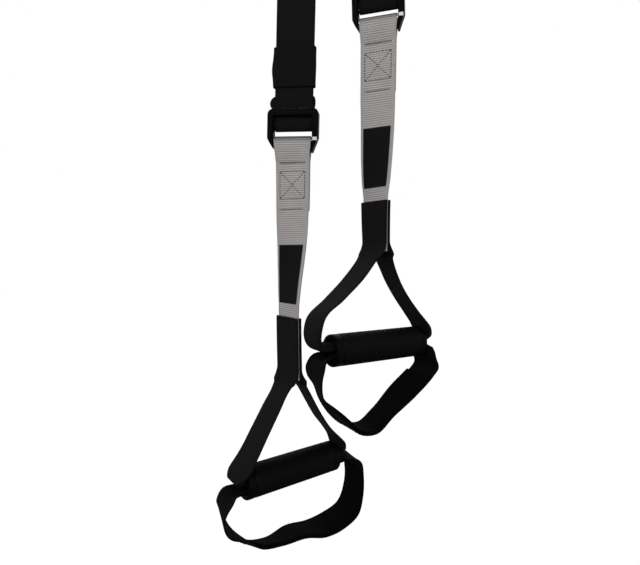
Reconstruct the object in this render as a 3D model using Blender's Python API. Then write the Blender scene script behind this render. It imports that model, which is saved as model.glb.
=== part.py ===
"""Suspension trainer: two adjustable webbing legs with grips and foot loops, hung from one carabiner.

All sizes are in metres. The origin is the inside top of the carabiner, where something holds it,
and +Z is up. Each leg runs down from a steel ring, through a cam buckle and round the middle bar
of a slide ring, then back up to the buckle. Sliding the buckle raises or lowers the slide ring.
"""
import bpy
import bmesh
import numpy as np
from math import atan2, cos, pi, radians, sin
from mathutils import Matrix, Vector

# Fits
GAP = 0.0003                    # between two pieces that touch
RUNNING_GAP = 0.0007            # between webbing and a bar or plate that it slides past

# Webbing
BLACK_WIDTH = 0.0395
GREY_WIDTH = 0.0366
WEB_THICK = 0.0018
NARROW_WEB_WIDTH = 0.025

# Carabiner
CARABINER_ROD = 0.010
CARABINER_INNER_HEIGHT = 0.072
CARABINER_HALF_WIDTH = 0.024    # to the middle of the rod
CARABINER_TOP_RADIUS = 0.015
CARABINER_BASKET_RADIUS = 0.0105
GATE_ROD = 0.0085
GATE_HINGE_HEIGHT = 0.020       # above the middle of the basket
NOSE_STRAIGHT = 0.004           # of the rod below its top bend, where the gate closes
GATE_TANG = 0.0026
GATE_SLOT = 0.0050             # between the ears, for the tang and its spring
GATE_SPRING_WIRE = 0.0006
GATE_PIN = 0.003
GATE_EAR = 0.0058               # radius of the ears round the pin

# Anchor strap and the ring below it
ANCHOR_STRAP_LENGTH = 0.075     # between the two rods that it joins
ANCHOR_TURN = radians(-16)      # the anchor hangs turned a little from the viewer
DELTA_ROD = 0.008
DELTA_HEIGHT = 0.045
DELTA_TOP_HALF = 0.017
DELTA_BOTTOM_HALF = 0.052
DELTA_CORNER = 0.008

# Legs
LEG_SPACING = 0.052             # between the legs on the ring
RING_SPREAD = {"left": -0.0430, "right": 0.0436}
STRAP_RUN = 1.100               # from the ring down to the slide ring and back up to the buckle
BUCKLE_BELOW_RING = {"left": 0.3204, "right": 0.0810}   # where each leg's buckle is set
LEG_DROP = {side: (STRAP_RUN + below) / 2 for side, below in BUCKLE_BELOW_RING.items()}
LEG_TURN = {"left": radians(-9), "right": radians(-16)}
LOOP_SEWN = 0.045               # length of the sewn-back end of a loop
LOOP_NECK = 2.4                 # bends below the bar, where the loop has closed
RETURN_SLACK = 0.003            # how far the return ply stands off above the slide ring
RETURN_SLACK_RISE = 0.012       # above the middle bar
RETURN_SETTLED = 0.034          # above the middle bar, where it lies on the other ply
BUCKLE_NECK_TOP = 0.004         # below the buckle's bar
BUCKLE_NECK = 0.014             # below the buckle's bar, where the sewn end has closed
ROUTE_STEP = 0.0022             # between the rows of a strap where it bends round a bar

# Slide ring
SLIDE_WIDTH = 0.0530
SLIDE_TOP = 0.0177              # above the middle bar
SLIDE_TOP_BAR = 0.0074
SLIDE_TOP_BAR_DEPTH = 0.0036
SLIDE_DEPTH = 0.0108
SLIDE_WINDOW = 0.0410
SLIDE_CORNER = 0.0055
SLIDE_MIDDLE_BAR = 0.005
SLIDE_BOTTOM_BAR = 0.006
SLIDE_BOTTOM_DROP = 0.0151
SLIDE_EAR_DROP = 0.0254
SLIDE_EAR_INSET = 0.0068
EAR_SLOT = 0.0038               # height of the slot in each ear, in front of the lower bar
EAR_SLOT_RIM = 0.0009           # of the ear left beyond the slot's outer end

# Keeper
KEEPER_HEIGHT = 0.040
KEEPER_DROP = 0.039             # from its lower edge down to the middle bar
KEEPER_WALL = 0.0013
KEEPER_EASE = 0.0006
KEEPER_SIDE_EASE = 0.0008

# Cam buckle
BUCKLE_WIDTH = 0.052
BUCKLE_HALF_HEIGHT = 0.022
BUCKLE_PLATE = 0.002
BUCKLE_CHEEK = 0.0025
BUCKLE_CORNER = 0.004
CAM_PIN = 0.004
CAM_PIN_FORWARD = 0.0100        # from the webbing to the pin
CAM_PIN_RISE = 0.004
CAM_BARREL = 0.0045
CAM_LEVER_RISE = 0.032
CAM_LEVER_THICK = 0.0025
CAM_TEETH = 5
CAM_TOOTH = 0.0008
CAM_SPRING_WIRE = 0.0009
CAM_SPRING_TURNS = 4
BUCKLE_BAR = 0.005
BUCKLE_BAR_DROP = 0.031
TAB_LENGTH = 0.050

# Lower strap, label and handle, each level measured down from the slide ring's middle bar
SEWN_START = 0.0210             # from the ring's lower bar to the seam that closes the loop
SEWN_LENGTH = 0.0504
PLAIN_LENGTH = 0.0343           # of grey strap between the seam's end and the label
LABEL_LENGTH = 0.0605
LABEL_WIDTH = 0.030
LABEL_THICK = 0.0006
LABEL_CLEAR = 0.0142            # of grey strap below the label
HANDLE_SEWN = 0.0605            # length of the handle strap on the grey strap
GREY_BELOW_FORK = 0.003
FORK_RISE = 0.1015              # from the grip's axis up to the fork
GREY_SEWN_TOP = SLIDE_BOTTOM_DROP + SEWN_START
GREY_SEWN_END = GREY_SEWN_TOP + SEWN_LENGTH
LABEL_TOP = GREY_SEWN_END + PLAIN_LENGTH
HANDLE_TOP = LABEL_TOP + LABEL_LENGTH + LABEL_CLEAR
FORK_DROP = HANDLE_TOP + HANDLE_SEWN
GREY_END = FORK_DROP + GREY_BELOW_FORK
GRIP_DROP = FORK_DROP + FORK_RISE
TRIM = {"left": 0.0008, "right": -0.0118}   # how much lower the handle was sewn on

# Grip
GRIP_LENGTH = 0.114
GRIP_RADIUS = 0.0163
TUBE_RADIUS = 0.0132
BORE_RADIUS = 0.0112
CAP_LENGTH = 0.0075
CAP_MOUTH_RADIUS = 0.0125
GRIP_SHOULDER = 0.0015
GLINT_RING = 0.0016

# Straps where they are gathered inside the grip
GATHERED_HALF_WIDTH = 0.0055
GATHERED_THICK = 0.0060
CURLED_RADIUS = 0.0098
CURLED_HALF_WIDTH = 0.0130
CURLED_THICK = 0.0022
LOOP_DEPTH = 0.0780
PAD_WIDTH = 0.041
PAD_THICK = 0.0026

# How far each leg's lower strap has turned at a drop below the middle bar, and how far it bows
TURN = {
    "left": ((0.0, 0.022, 0.037, 0.083, 0.107, 0.132, 0.157, 0.182, HANDLE_TOP),
             (-9, -9, -16, -21, -27, -36, -45, -52, -53)),
    "right": ((0.0, 0.022, 0.037, 0.090, 0.126, 0.151, 0.175, 0.190, FORK_DROP),
              (-16, -16, -19, -23, -30, -36, -45, -54, -60)),
}
BOW = {"left": (-0.0052, -0.0038), "right": (-0.0020, 0.0)}   # at the handle strap's top, and below
BOW_REACH = 0.070

# Routes of the handle straps: along the grip as a share of its half length, up as a share of the
# fork's height, how gathered the strap is, and its turn about its own route in degrees
HANDLE_ROUTE = {
    "left": (
        (-0.12, 0.94, 0, -5), (-0.20, 0.87, 0, -9), (-0.41, 0.69, 0, -8), (-0.66, 0.47, 0, -7),
        (-0.91, 0.25, 0.03, -5), (-1.05, 0.145, 0.3, 0), (-1.16, 0.07, 0.8, 0),
        (-1.13, 0.015, 1, 0), (-1.03, 0.0, 1, 0), (-0.5, 0.0, 1, 0), (0.5, 0.0, 1, 0),
        (1.03, 0.0, 1, 0), (1.12, 0.015, 1, 0), (1.165, 0.08, 0.8, 0), (1.12, 0.165, 0.3, 4),
        (0.96, 0.28, 0.03, 8), (0.74, 0.42, 0, 11), (0.52, 0.61, 0, 13), (0.30, 0.82, 0, 12),
        (0.15, 0.94, 0, 7),
    ),
    "right": (
        (-0.11, 0.96, 0, -2), (-0.19, 0.90, 0, -4), (-0.49, 0.71, 0, -4), (-0.92, 0.50, 0, -1),
        (-1.26, 0.33, 0, 0), (-1.315, 0.205, 0.25, 0), (-1.255, 0.09, 0.7, 0),
        (-1.15, 0.012, 0.95, 0), (-1.03, 0.0, 1, 0), (-0.5, 0.0, 1, 0), (0.5, 0.0, 1, 0),
        (1.03, 0.0, 1, 0), (1.12, 0.015, 1, 0), (1.15, 0.08, 0.8, 0), (1.09, 0.16, 0.3, 4),
        (0.93, 0.26, 0.03, 8), (0.67, 0.425, 0, 11), (0.415, 0.62, 0, 13), (0.215, 0.84, 0, 12),
        (0.12, 0.96, 0, 7),
    ),
}

# Routes of the foot straps: along the grip as above, and down as a share of the loop's depth
FOOT_ROUTE = {
    "left": (
        (-0.55, 0.118, 1, 0), (-1.03, 0.118, 1, 0), (-1.12, 0.125, 0.75, 0),
        (-1.25, 0.145, 0.25, -6), (-1.41, 0.24, 0, -14), (-1.36, 0.43, 0, -18),
        (-1.14, 0.66, 0, 6), (-0.87, 0.875, 0, 16), (-0.35, 0.97, 0, 20), (0.10, 0.945, 0, 11),
        (0.59, 1.02, 0, 4), (1.04, 1.01, 0, 3), (1.41, 0.90, 0, 8), (1.565, 0.62, 0, 13),
        (1.58, 0.35, 0, 13), (1.50, 0.11, 0, 8), (1.30, 0.07, 0.22, 0), (1.12, 0.115, 0.75, 0),
        (1.03, 0.118, 1, 0), (0.55, 0.118, 1, 0),
    ),
    "right": (
        (-0.55, 0.118, 1, 0), (-1.03, 0.118, 1, 0), (-1.12, 0.12, 0.75, 0),
        (-1.21, 0.115, 0.2, -6), (-1.29, 0.185, 0, -3), (-1.31, 0.33, 0, -8),
        (-1.235, 0.49, 0, -11), (-1.06, 0.685, 0, -4), (-0.83, 0.89, 0, -1), (-0.54, 1.07, 0, 0),
        (-0.20, 1.12, 0, 6), (0.18, 0.95, 0, 9), (0.655, 0.70, 0, 0), (1.08, 0.44, 0, 0),
        (1.215, 0.29, 0, 0), (1.21, 0.185, 0.1, 0), (1.145, 0.125, 0.6, 0), (1.03, 0.118, 1, 0),
        (0.55, 0.118, 1, 0),
    ),
}
PAD_SPAN = {"left": (0.30, 0.80), "right": (0.32, 0.78)}   # shares of the foot strap's run

# Colours: base colour, roughness, metallic
FINISHES = {
    "black_webbing": ((0.012, 0.012, 0.013), 0.85, 0.0),
    "grey_webbing": ((0.33, 0.32, 0.31), 0.85, 0.0),
    "pad_fabric": ((0.008, 0.008, 0.009), 0.9, 0.0),
    "label_satin": ((0.010, 0.010, 0.011), 0.6, 0.0),
    "rubber": ((0.015, 0.015, 0.015), 0.8, 0.0),
    "black_plastic": ((0.012, 0.012, 0.013), 0.45, 0.0),
    "painted_steel": ((0.012, 0.012, 0.013), 0.4, 0.3),
    "steel": ((0.62, 0.62, 0.64), 0.25, 1.0),
    "dark_steel": ((0.06, 0.06, 0.065), 0.3, 1.0),
}


def clear_scene():
    """Remove every object that the file opens with."""
    for thing in list(bpy.data.objects):
        bpy.data.objects.remove(thing)


def make_finishes():
    """One Principled material for each finish."""
    made = {}
    for name, (colour, roughness, metallic) in FINISHES.items():
        material = bpy.data.materials.new(name)
        material.use_nodes = True
        shader = material.node_tree.nodes["Principled BSDF"]
        shader.inputs["Base Color"].default_value = (*colour, 1)
        shader.inputs["Roughness"].default_value = roughness
        shader.inputs["Metallic"].default_value = metallic
        made[name] = material
    return made


# Mesh and object helpers

def add_object(name, verts, faces, finish, parent=None, matrix=None, smooth=35):
    """A named object from points and faces, with its normals turned outwards."""
    mesh = bpy.data.meshes.new(name)
    mesh.from_pydata([tuple(v) for v in verts], [], faces)
    form = bmesh.new()
    form.from_mesh(mesh)
    bmesh.ops.recalc_face_normals(form, faces=form.faces)
    form.to_mesh(mesh)
    form.free()
    return place_mesh(name, mesh, finish, parent, matrix, smooth)


def place_mesh(name, mesh, finish, parent=None, matrix=None, smooth=35):
    """Put a mesh into the scene with its finish, parent and place."""
    mesh.materials.append(bpy.data.materials[finish])
    mesh.shade_smooth()
    mesh.set_sharp_from_angle(angle=radians(smooth))
    thing = bpy.data.objects.new(name, mesh)
    bpy.context.scene.collection.objects.link(thing)
    thing.parent = parent
    if matrix is not None:
        thing.matrix_local = matrix
    return thing


def add_empty(name, matrix, parent=None):
    """A frame that moving pieces hang from, with its origin on their joint's axis."""
    empty = bpy.data.objects.new(name, None)
    bpy.context.scene.collection.objects.link(empty)
    empty.parent = parent
    empty.matrix_local = matrix
    return empty


def box_solid(low, high):
    """Points and faces of a box between two corners."""
    verts = [(x, y, z) for x in (low[0], high[0]) for y in (low[1], high[1])
             for z in (low[2], high[2])]
    faces = [(0, 1, 3, 2), (4, 6, 7, 5), (0, 4, 5, 1), (2, 3, 7, 6), (0, 2, 6, 4), (1, 5, 7, 3)]
    return verts, faces


def extruded(outline, axis, low, high):
    """A flat outline carried along X or Y from low to high. The outline holds the other two axes."""
    count = len(outline)
    if axis == "x":
        verts = [(level, a, b) for level in (low, high) for a, b in outline]
    else:
        verts = [(a, level, b) for level in (low, high) for a, b in outline]
    faces = [tuple(range(count)), tuple(range(2 * count - 1, count - 1, -1))]
    for i in range(count):
        j = (i + 1) % count
        faces.append((i, count + i, count + j, j))
    return verts, faces


def round_bar(axis, centre, radius, low, high, sides=16):
    """A plain round bar along X or Y through a centre given on the other two axes."""
    outline = [(centre[0] + radius * cos(2 * pi * i / sides),
                centre[1] + radius * sin(2 * pi * i / sides)) for i in range(sides)]
    return extruded(outline, axis, low, high)


def combine(base, others, operation):
    """Join solids to a base, or cut them from it, and keep the result in the base's mesh."""
    for verts, faces in others:
        mesh = bpy.data.meshes.new("tool")
        mesh.from_pydata(verts, [], faces)
        form = bmesh.new()
        form.from_mesh(mesh)
        bmesh.ops.recalc_face_normals(form, faces=form.faces)
        form.to_mesh(mesh)
        form.free()
        tool = bpy.data.objects.new("tool", mesh)
        bpy.context.scene.collection.objects.link(tool)
        tool.matrix_world = base.matrix_world
        cut = base.modifiers.new("cut", "BOOLEAN")
        cut.operation = operation
        cut.object = tool
        bpy.context.view_layer.update()
        result = bpy.data.meshes.new_from_object(
            base.evaluated_get(bpy.context.evaluated_depsgraph_get()))
        base.modifiers.remove(cut)
        base.data = result
        bpy.data.objects.remove(tool)
    base.data.set_sharp_from_angle(angle=radians(35))


def rounded(points, radii, closed=True, steps=5):
    """A polygon whose corners are arcs: each corner has its own radius, and 0 keeps it sharp."""
    made = []
    count = len(points)
    for i, (point, radius) in enumerate(zip(points, radii)):
        at = Vector(point)
        if radius == 0 or (not closed and i in (0, count - 1)):
            made.append(tuple(at))
            continue
        back = (Vector(points[i - 1]) - at).normalized()
        on = (Vector(points[(i + 1) % count]) - at).normalized()
        half = back.angle(on) / 2
        middle = at + (back + on).normalized() * (radius / sin(half))
        start = at + back * (radius * cos(half) / sin(half)) - middle
        end = at + on * (radius * cos(half) / sin(half)) - middle
        first = atan2(start[1], start[0])
        sweep = (atan2(end[1], end[0]) - first + pi) % (2 * pi) - pi
        for k in range(steps + 1):
            angle = first + sweep * k / steps
            made.append((middle[0] + radius * cos(angle), middle[1] + radius * sin(angle)))
    return made


def rod(name, points, radius, closed, finish, parent=None, resolution=3):
    """A round rod along a route, with its ends filled."""
    curve = bpy.data.curves.new(name, "CURVE")
    curve.dimensions = "3D"
    curve.bevel_depth = radius
    curve.bevel_resolution = resolution
    curve.use_fill_caps = True
    spline = curve.splines.new("POLY")
    spline.points.add(len(points) - 1)
    for spot, point in zip(spline.points, points):
        spot.co = (*point, 1)
    spline.use_cyclic_u = closed
    guide = bpy.data.objects.new(name + "_route", curve)
    bpy.context.scene.collection.objects.link(guide)
    bpy.context.view_layer.update()
    mesh = bpy.data.meshes.new_from_object(
        guide.evaluated_get(bpy.context.evaluated_depsgraph_get()))
    bpy.data.objects.remove(guide)
    form = bmesh.new()
    form.from_mesh(mesh)
    bmesh.ops.remove_doubles(form, verts=form.verts, dist=1e-6)
    bmesh.ops.recalc_face_normals(form, faces=form.faces)
    form.to_mesh(mesh)
    form.free()
    mesh.materials.clear()
    return place_mesh(name, mesh, finish, parent)


def turned(profile, sides):
    """A closed outline of (radius, along) points turned about the Y axis."""
    count = len(profile)
    verts = []
    for k in range(sides):
        angle = 2 * pi * k / sides
        verts += [(r * cos(angle), y, r * sin(angle)) for r, y in profile]
    faces = []
    for k in range(sides):
        n = (k + 1) % sides
        for i in range(count):
            j = (i + 1) % count
            faces.append((k * count + i, k * count + j, n * count + j, n * count + i))
    return verts, faces


def smooth_route(points, spacing):
    """Rows on a smooth curve through the given rows, evenly spaced along their first two columns.

    Each stretch is a cubic that leaves and enters with the slopes that its neighbours give.
    """
    rows = np.array(points, float)
    at = np.concatenate(([0], np.cumsum(np.linalg.norm(np.diff(rows[:, :2], axis=0), axis=1))))
    slope = np.gradient(rows, at, axis=0)
    fine = np.linspace(0, at[-1], 40 * len(rows))
    k = np.clip(np.searchsorted(at, fine, side="right") - 1, 0, len(rows) - 2)
    step = (at[k + 1] - at[k])[:, None]
    t = (fine - at[k])[:, None] / step
    curve = ((2 * t**3 - 3 * t**2 + 1) * rows[k] + (t**3 - 2 * t**2 + t) * step * slope[k]
             + (3 * t**2 - 2 * t**3) * rows[k + 1] + (t**3 - t**2) * step * slope[k + 1])
    run = np.concatenate(([0], np.cumsum(np.linalg.norm(np.diff(curve[:, :2], axis=0), axis=1))))
    even = np.linspace(0, run[-1], max(int(round(run[-1] / spacing)), 2) + 1)
    return np.stack([np.interp(even, run, column) for column in curve.T], axis=1)


def ribbon(route, half_width, thick, turn=None, curl=None, sections=1, closed=False, lift=0):
    """Webbing: a thin section carried along a route in the YZ plane, its width along X.

    half_width and thick may change along the route. turn leans the width about the route, curl
    is one over the radius to which the section is bent about the side it faces, and lift moves
    the whole ribbon off its route towards that side.
    """
    route = np.asarray(route, float)[:, :2]
    count = len(route)
    half_width = np.broadcast_to(np.asarray(half_width, float), (count,))
    thick = np.broadcast_to(np.asarray(thick, float), (count,))
    turn = np.zeros(count) if turn is None else np.asarray(turn, float)
    curl = np.zeros(count) if curl is None else np.asarray(curl, float)
    if closed:
        along = np.roll(route, -1, axis=0) - np.roll(route, 1, axis=0)
    else:
        along = np.gradient(route, axis=0)
    along /= np.linalg.norm(along, axis=1)[:, None]
    face = np.stack([np.zeros(count), -along[:, 1], along[:, 0]], axis=1)
    side = np.tile([1.0, 0.0, 0.0], (count, 1))
    across = side * np.cos(turn)[:, None] + face * np.sin(turn)[:, None]
    face = face * np.cos(turn)[:, None] - side * np.sin(turn)[:, None]
    share = np.linspace(-1, 1, sections + 1)
    s = share[None, :] * half_width[:, None]
    bend = np.where(np.abs(curl) < 1e-3, 1e-3, curl)[:, None]
    out, rise = np.sin(bend * s) / bend, (1 - np.cos(bend * s)) / bend + lift
    spine = (np.column_stack([np.zeros(count), route])[:, None, :]
             + out[..., None] * across[:, None, :] + rise[..., None] * face[:, None, :])
    normal = (-np.sin(bend * s)[..., None] * across[:, None, :]
              + np.cos(bend * s)[..., None] * face[:, None, :])
    reach = (thick / 2)[:, None, None] * normal
    rings = np.concatenate([spine + reach, (spine - reach)[:, ::-1]], axis=1)
    per = rings.shape[1]
    faces = []
    for i in range(count if closed else count - 1):
        n = (i + 1) % count
        for k in range(per):
            m = (k + 1) % per
            faces.append((i * per + k, i * per + m, n * per + m, n * per + k))
    if not closed:
        for base in (0, (count - 1) * per):
            for k in range(sections):
                faces.append((base + k, base + k + 1, base + per - 2 - k, base + per - 1 - k))
    return rings.reshape(-1, 3), faces


def arc(centre, radius, start, end, steps):
    """Points of an arc in the YZ plane; angles run from +Y towards +Z."""
    angles = np.radians(np.linspace(start, end, steps + 1))
    return np.column_stack([centre[0] + radius * np.cos(angles),
                            centre[1] + radius * np.sin(angles)])


def on_bar(points, turn, slope):
    """Turn points about Z, and tilt their width with a bar that isn't quite level."""
    x, y = points[:, 0], points[:, 1]
    return np.column_stack([x * np.cos(turn) - y * np.sin(turn),
                            x * np.sin(turn) + y * np.cos(turn), points[:, 2] + x * slope])


def ease(value):
    """0 below 0, 1 above 1, and a smooth step between."""
    value = np.clip(value, 0, 1)
    return value * value * (3 - 2 * value)


# Anchor: carabiner, short strap and steel ring

def make_carabiner(frame):
    """A D-shaped snap hook: a bent rod with a forked lower end, a gate and the gate's pin."""
    r = CARABINER_ROD / 2
    side = CARABINER_HALF_WIDTH
    basket = -CARABINER_INNER_HEIGHT - r
    hinge = basket + GATE_HINGE_HEIGHT
    nose = r - CARABINER_TOP_RADIUS - NOSE_STRAIGHT
    corners = [(side, hinge), (side, basket), (-side, basket), (-side, r), (side, r), (side, nose)]
    radii = [0, CARABINER_BASKET_RADIUS, CARABINER_BASKET_RADIUS, CARABINER_TOP_RADIUS,
             CARABINER_TOP_RADIUS, 0]
    route = [(x, 0, z) for x, z in rounded(corners, radii, closed=False)]
    body = rod("carabiner_body", route, r, False, "steel", frame)
    bpy.context.view_layer.update()
    pin = GATE_PIN / 2 + GAP
    combine(body, [round_bar("y", (side, hinge), GATE_EAR, -r, r, 20)], "UNION")
    combine(body, [
        box_solid((side - 2 * GATE_EAR, -GATE_SLOT / 2, hinge - GATE_EAR - GAP),
                  (side + 2 * GATE_EAR, GATE_SLOT / 2, hinge + 2 * GATE_EAR)),
        round_bar("y", (side, hinge), pin, -2 * r, 2 * r)], "DIFFERENCE")

    pivot = add_empty("gate_pivot", Matrix.Translation((side, 0, hinge)), frame)
    length = nose - hinge - 2 * GAP
    low = GATE_EAR + GAP
    gate = rod("carabiner_gate", [(0, 0, low), (0, 0, low + 0.004), (0, 0, length)],
               GATE_ROD / 2, False, "steel", pivot)
    bpy.context.view_layer.update()
    tang = extruded([(GATE_EAR * cos(a), GATE_EAR * sin(a)) for a in np.linspace(pi, 2 * pi, 11)]
                    + [(GATE_ROD / 2, low + 0.003), (-GATE_ROD / 2, low + 0.003)],
                    "y", GAP - GATE_SLOT / 2, GAP - GATE_SLOT / 2 + GATE_TANG)
    combine(gate, [tang], "UNION")
    combine(gate, [round_bar("y", (0, 0), pin, -r, r)], "DIFFERENCE")
    add_object("carabiner_gate_pin", *round_bar("y", (0, 0), GATE_PIN / 2, -r, r), "steel", pivot)
    mean = GATE_PIN / 2 + GAP + GATE_SPRING_WIRE / 2
    near = GATE_SLOT / 2 - GAP - GATE_SPRING_WIRE / 2
    pitch = GATE_SPRING_WIRE * 1.2
    turns = np.arange(0, 19)
    coil = [(mean * cos(pi * i / 6), near - pitch * i / 12, mean * sin(pi * i / 6)) for i in turns]
    rod("carabiner_gate_spring", [(mean, near, -0.0030)] + coil + [
        (-mean, near - pitch * 1.5, -0.0030)], GATE_SPRING_WIRE / 2, False, "steel", pivot,
        resolution=1)


def loop_round(radius_top, radius_low, length, half_gap):
    """A closed strap loop round two bars, its two plies sewn together between them."""
    top = arc((0, 0), radius_top, -35, 215, 10)
    low = arc((0, -length), radius_low, 145, 395, 10)
    left = [(-half_gap, -radius_top * 2.6), (-half_gap, -length + radius_low * 2.6)]
    right = [(half_gap, -length + radius_low * 2.6), (half_gap, -radius_top * 2.6)]
    return np.vstack([top, left, low, right])


def make_anchor(frame):
    """The short strap with a loop at each end, and the wide ring that both legs hang on."""
    ply = WEB_THICK / 2
    basket = -CARABINER_INNER_HEIGHT - CARABINER_ROD / 2
    strap_frame = add_empty("anchor_strap_pivot", Matrix.Translation((0, 0, basket)), frame)
    route = loop_round(CARABINER_ROD / 2 + GAP + ply, DELTA_ROD / 2 + GAP + ply,
                       ANCHOR_STRAP_LENGTH, ply + GAP / 2)
    add_object("anchor_strap", *ribbon(route, NARROW_WEB_WIDTH / 2, WEB_THICK, closed=True),
               "black_webbing", strap_frame)
    ring_frame = add_empty("anchor_ring_pivot",
                           Matrix.Translation((0, 0, -ANCHOR_STRAP_LENGTH)), strap_frame)
    corners = [(DELTA_TOP_HALF, 0), (DELTA_BOTTOM_HALF, -DELTA_HEIGHT + DELTA_CORNER * 1.4),
               (DELTA_BOTTOM_HALF, -DELTA_HEIGHT), (-DELTA_BOTTOM_HALF, -DELTA_HEIGHT),
               (-DELTA_BOTTOM_HALF, -DELTA_HEIGHT + DELTA_CORNER * 1.4), (-DELTA_TOP_HALF, 0)]
    half = DELTA_CORNER / 2
    outline = rounded(corners, [half, half, half, half, half, half], steps=4)
    rod("anchor_ring", [(x, 0, z) for x, z in outline], DELTA_ROD / 2, True, "steel", ring_frame)
    return add_empty("leg_bar", Matrix.Translation((0, 0, -DELTA_HEIGHT)), ring_frame)


# Legs: strap, slide ring, keeper and cam buckle

def leg_frame(side):
    """The leg's frame: origin on its bar, -Z down the leg, the strap's long run in the plane Y = 0."""
    step = -LEG_SPACING / 2 if side == "left" else LEG_SPACING / 2
    bar_height = (-CARABINER_INNER_HEIGHT - CARABINER_ROD / 2 - ANCHOR_STRAP_LENGTH
                  - DELTA_HEIGHT)
    top = Vector((step * cos(ANCHOR_TURN), step * sin(ANCHOR_TURN), bar_height))
    low = Vector((RING_SPREAD[side], 0, bar_height - LEG_DROP[side]))
    down = (low - top).normalized()
    up = -down
    forward = Vector((0, 1, 0))
    across = forward.cross(up).normalized()
    forward = up.cross(across)
    turn = Matrix((across, forward, up)).transposed().to_4x4()
    return Matrix.Translation(top) @ turn @ Matrix.Rotation(LEG_TURN[side], 4, "Z")


def make_leg_strap(side, frame):
    """The leg's long ply, with its top end sewn back round the ring's bar."""
    ply = WEB_THICK / 2
    bend = DELTA_ROD / 2 + GAP + ply
    second = WEB_THICK + GAP
    top = smooth_route(
        [(second - bend, -LOOP_SEWN), (second - bend, -LOOP_NECK * bend)]
        + [tuple(p) for p in arc((0, 0), bend, -20, 180, 8)] + [(-bend, -0.4 * bend),
                                                                (-bend, -LOOP_NECK * bend)],
        ROUTE_STEP)
    drop = LEG_DROP[side] - SLIDE_TOP + SLIDE_TOP_BAR * 0.45
    rows = np.vstack([top, [(-bend, -LOOP_SEWN * 1.2), (-bend, -drop / 2), (-bend, -drop)]])
    verts, faces = ribbon(rows, BLACK_WIDTH / 2, WEB_THICK)
    verts = np.array(verts)
    bar = frame.matrix_world.to_3x3().transposed() @ Vector((cos(ANCHOR_TURN),
                                                             sin(ANCHOR_TURN), 0))
    settle = 1 - ease((-verts[:, 2] - bend * 2) / LOOP_SEWN)
    verts = on_bar(verts, settle * atan2(bar[1], bar[0]), settle * bar[2])
    return add_object("leg_strap_" + side, verts, faces, "black_webbing", frame)


def make_slide_ring(side, frame):
    """A painted frame with a flat top bar, a round middle bar and ears that carry a steel bar."""
    half = SLIDE_WIDTH / 2
    window = SLIDE_WINDOW / 2
    ply = WEB_THICK / 2
    front = -ply - RUNNING_GAP - SLIDE_TOP_BAR_DEPTH
    back = front + SLIDE_DEPTH
    middle = ply + GAP + SLIDE_MIDDLE_BAR / 2
    seat = (front + back) / 2
    outline = rounded(
        [(half, SLIDE_TOP), (half, -SLIDE_BOTTOM_DROP), (half - SLIDE_EAR_INSET, -SLIDE_EAR_DROP),
         (-half + SLIDE_EAR_INSET, -SLIDE_EAR_DROP), (-half, -SLIDE_BOTTOM_DROP),
         (-half, SLIDE_TOP)],
        [SLIDE_CORNER, 0.003, 0.001, 0.001, 0.003, SLIDE_CORNER], steps=4)
    ring = add_object("slide_ring_" + side, *extruded(outline, "y", front, back),
                      "painted_steel", frame)
    bpy.context.view_layer.update()
    top_window = SLIDE_TOP - SLIDE_TOP_BAR
    combine(ring, [
        box_solid((-window, front - GAP, -2 * SLIDE_EAR_DROP), (window, back + GAP, top_window)),
        box_solid((-window, front + SLIDE_TOP_BAR_DEPTH, top_window - GAP),
                  (window, back + GAP, 2 * SLIDE_TOP)),
        round_bar("x", (seat, -SLIDE_BOTTOM_DROP), SLIDE_BOTTOM_BAR / 2 + GAP,
                  -SLIDE_WIDTH, SLIDE_WIDTH)] + [
        box_solid((min(edge * (window + 0.0004), edge * (half - EAR_SLOT_RIM)), front - GAP,
                   -SLIDE_BOTTOM_DROP - EAR_SLOT / 2),
                  (max(edge * (window + 0.0004), edge * (half - EAR_SLOT_RIM)), seat,
                   -SLIDE_BOTTOM_DROP + EAR_SLOT / 2)) for edge in (-1, 1)], "DIFFERENCE")
    combine(ring, [round_bar("x", (middle, 0), SLIDE_MIDDLE_BAR / 2, -window - 0.001,
                             window + 0.001)], "UNION")
    bar = round_bar("x", (seat, -SLIDE_BOTTOM_DROP), SLIDE_BOTTOM_BAR / 2,
                    -half - 0.0004, half + 0.0004)
    add_object("slide_ring_bar_" + side, *bar, "steel", frame)
    return seat


def make_return_strap(side, frame, rise):
    """The strap that comes out under the top bar, turns round the middle bar and runs up again."""
    ply = WEB_THICK / 2
    second = WEB_THICK + GAP
    bend = SLIDE_MIDDLE_BAR / 2 + GAP + ply
    top_bend = BUCKLE_BAR / 2 + GAP + ply
    start = SLIDE_TOP - SLIDE_TOP_BAR * 0.45 - GAP
    bar = rise - BUCKLE_BAR_DROP
    low = smooth_route(
        [(0, start), (0, start * 0.5)] + [tuple(p) for p in arc((bend, 0), bend, 180, 360, 8)]
        + [(second + RETURN_SLACK, RETURN_SLACK_RISE), (second, 2 * RETURN_SLACK_RISE),
           (second, RETURN_SETTLED)], ROUTE_STEP)
    high = smooth_route(
        [(second, bar - 3 * BUCKLE_NECK_TOP), (second, bar - BUCKLE_NECK_TOP)]
        + [tuple(p) for p in arc((second + top_bend, bar), top_bend, 180, 0, 8)]
        + [(second + top_bend * 1.5, bar - BUCKLE_NECK / 2), (2 * second, bar - BUCKLE_NECK),
           (2 * second, bar - LOOP_SEWN)], ROUTE_STEP)
    return add_object("return_strap_" + side,
                      *ribbon(np.vstack([low, high]), BLACK_WIDTH / 2, WEB_THICK),
                      "black_webbing", frame)


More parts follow.
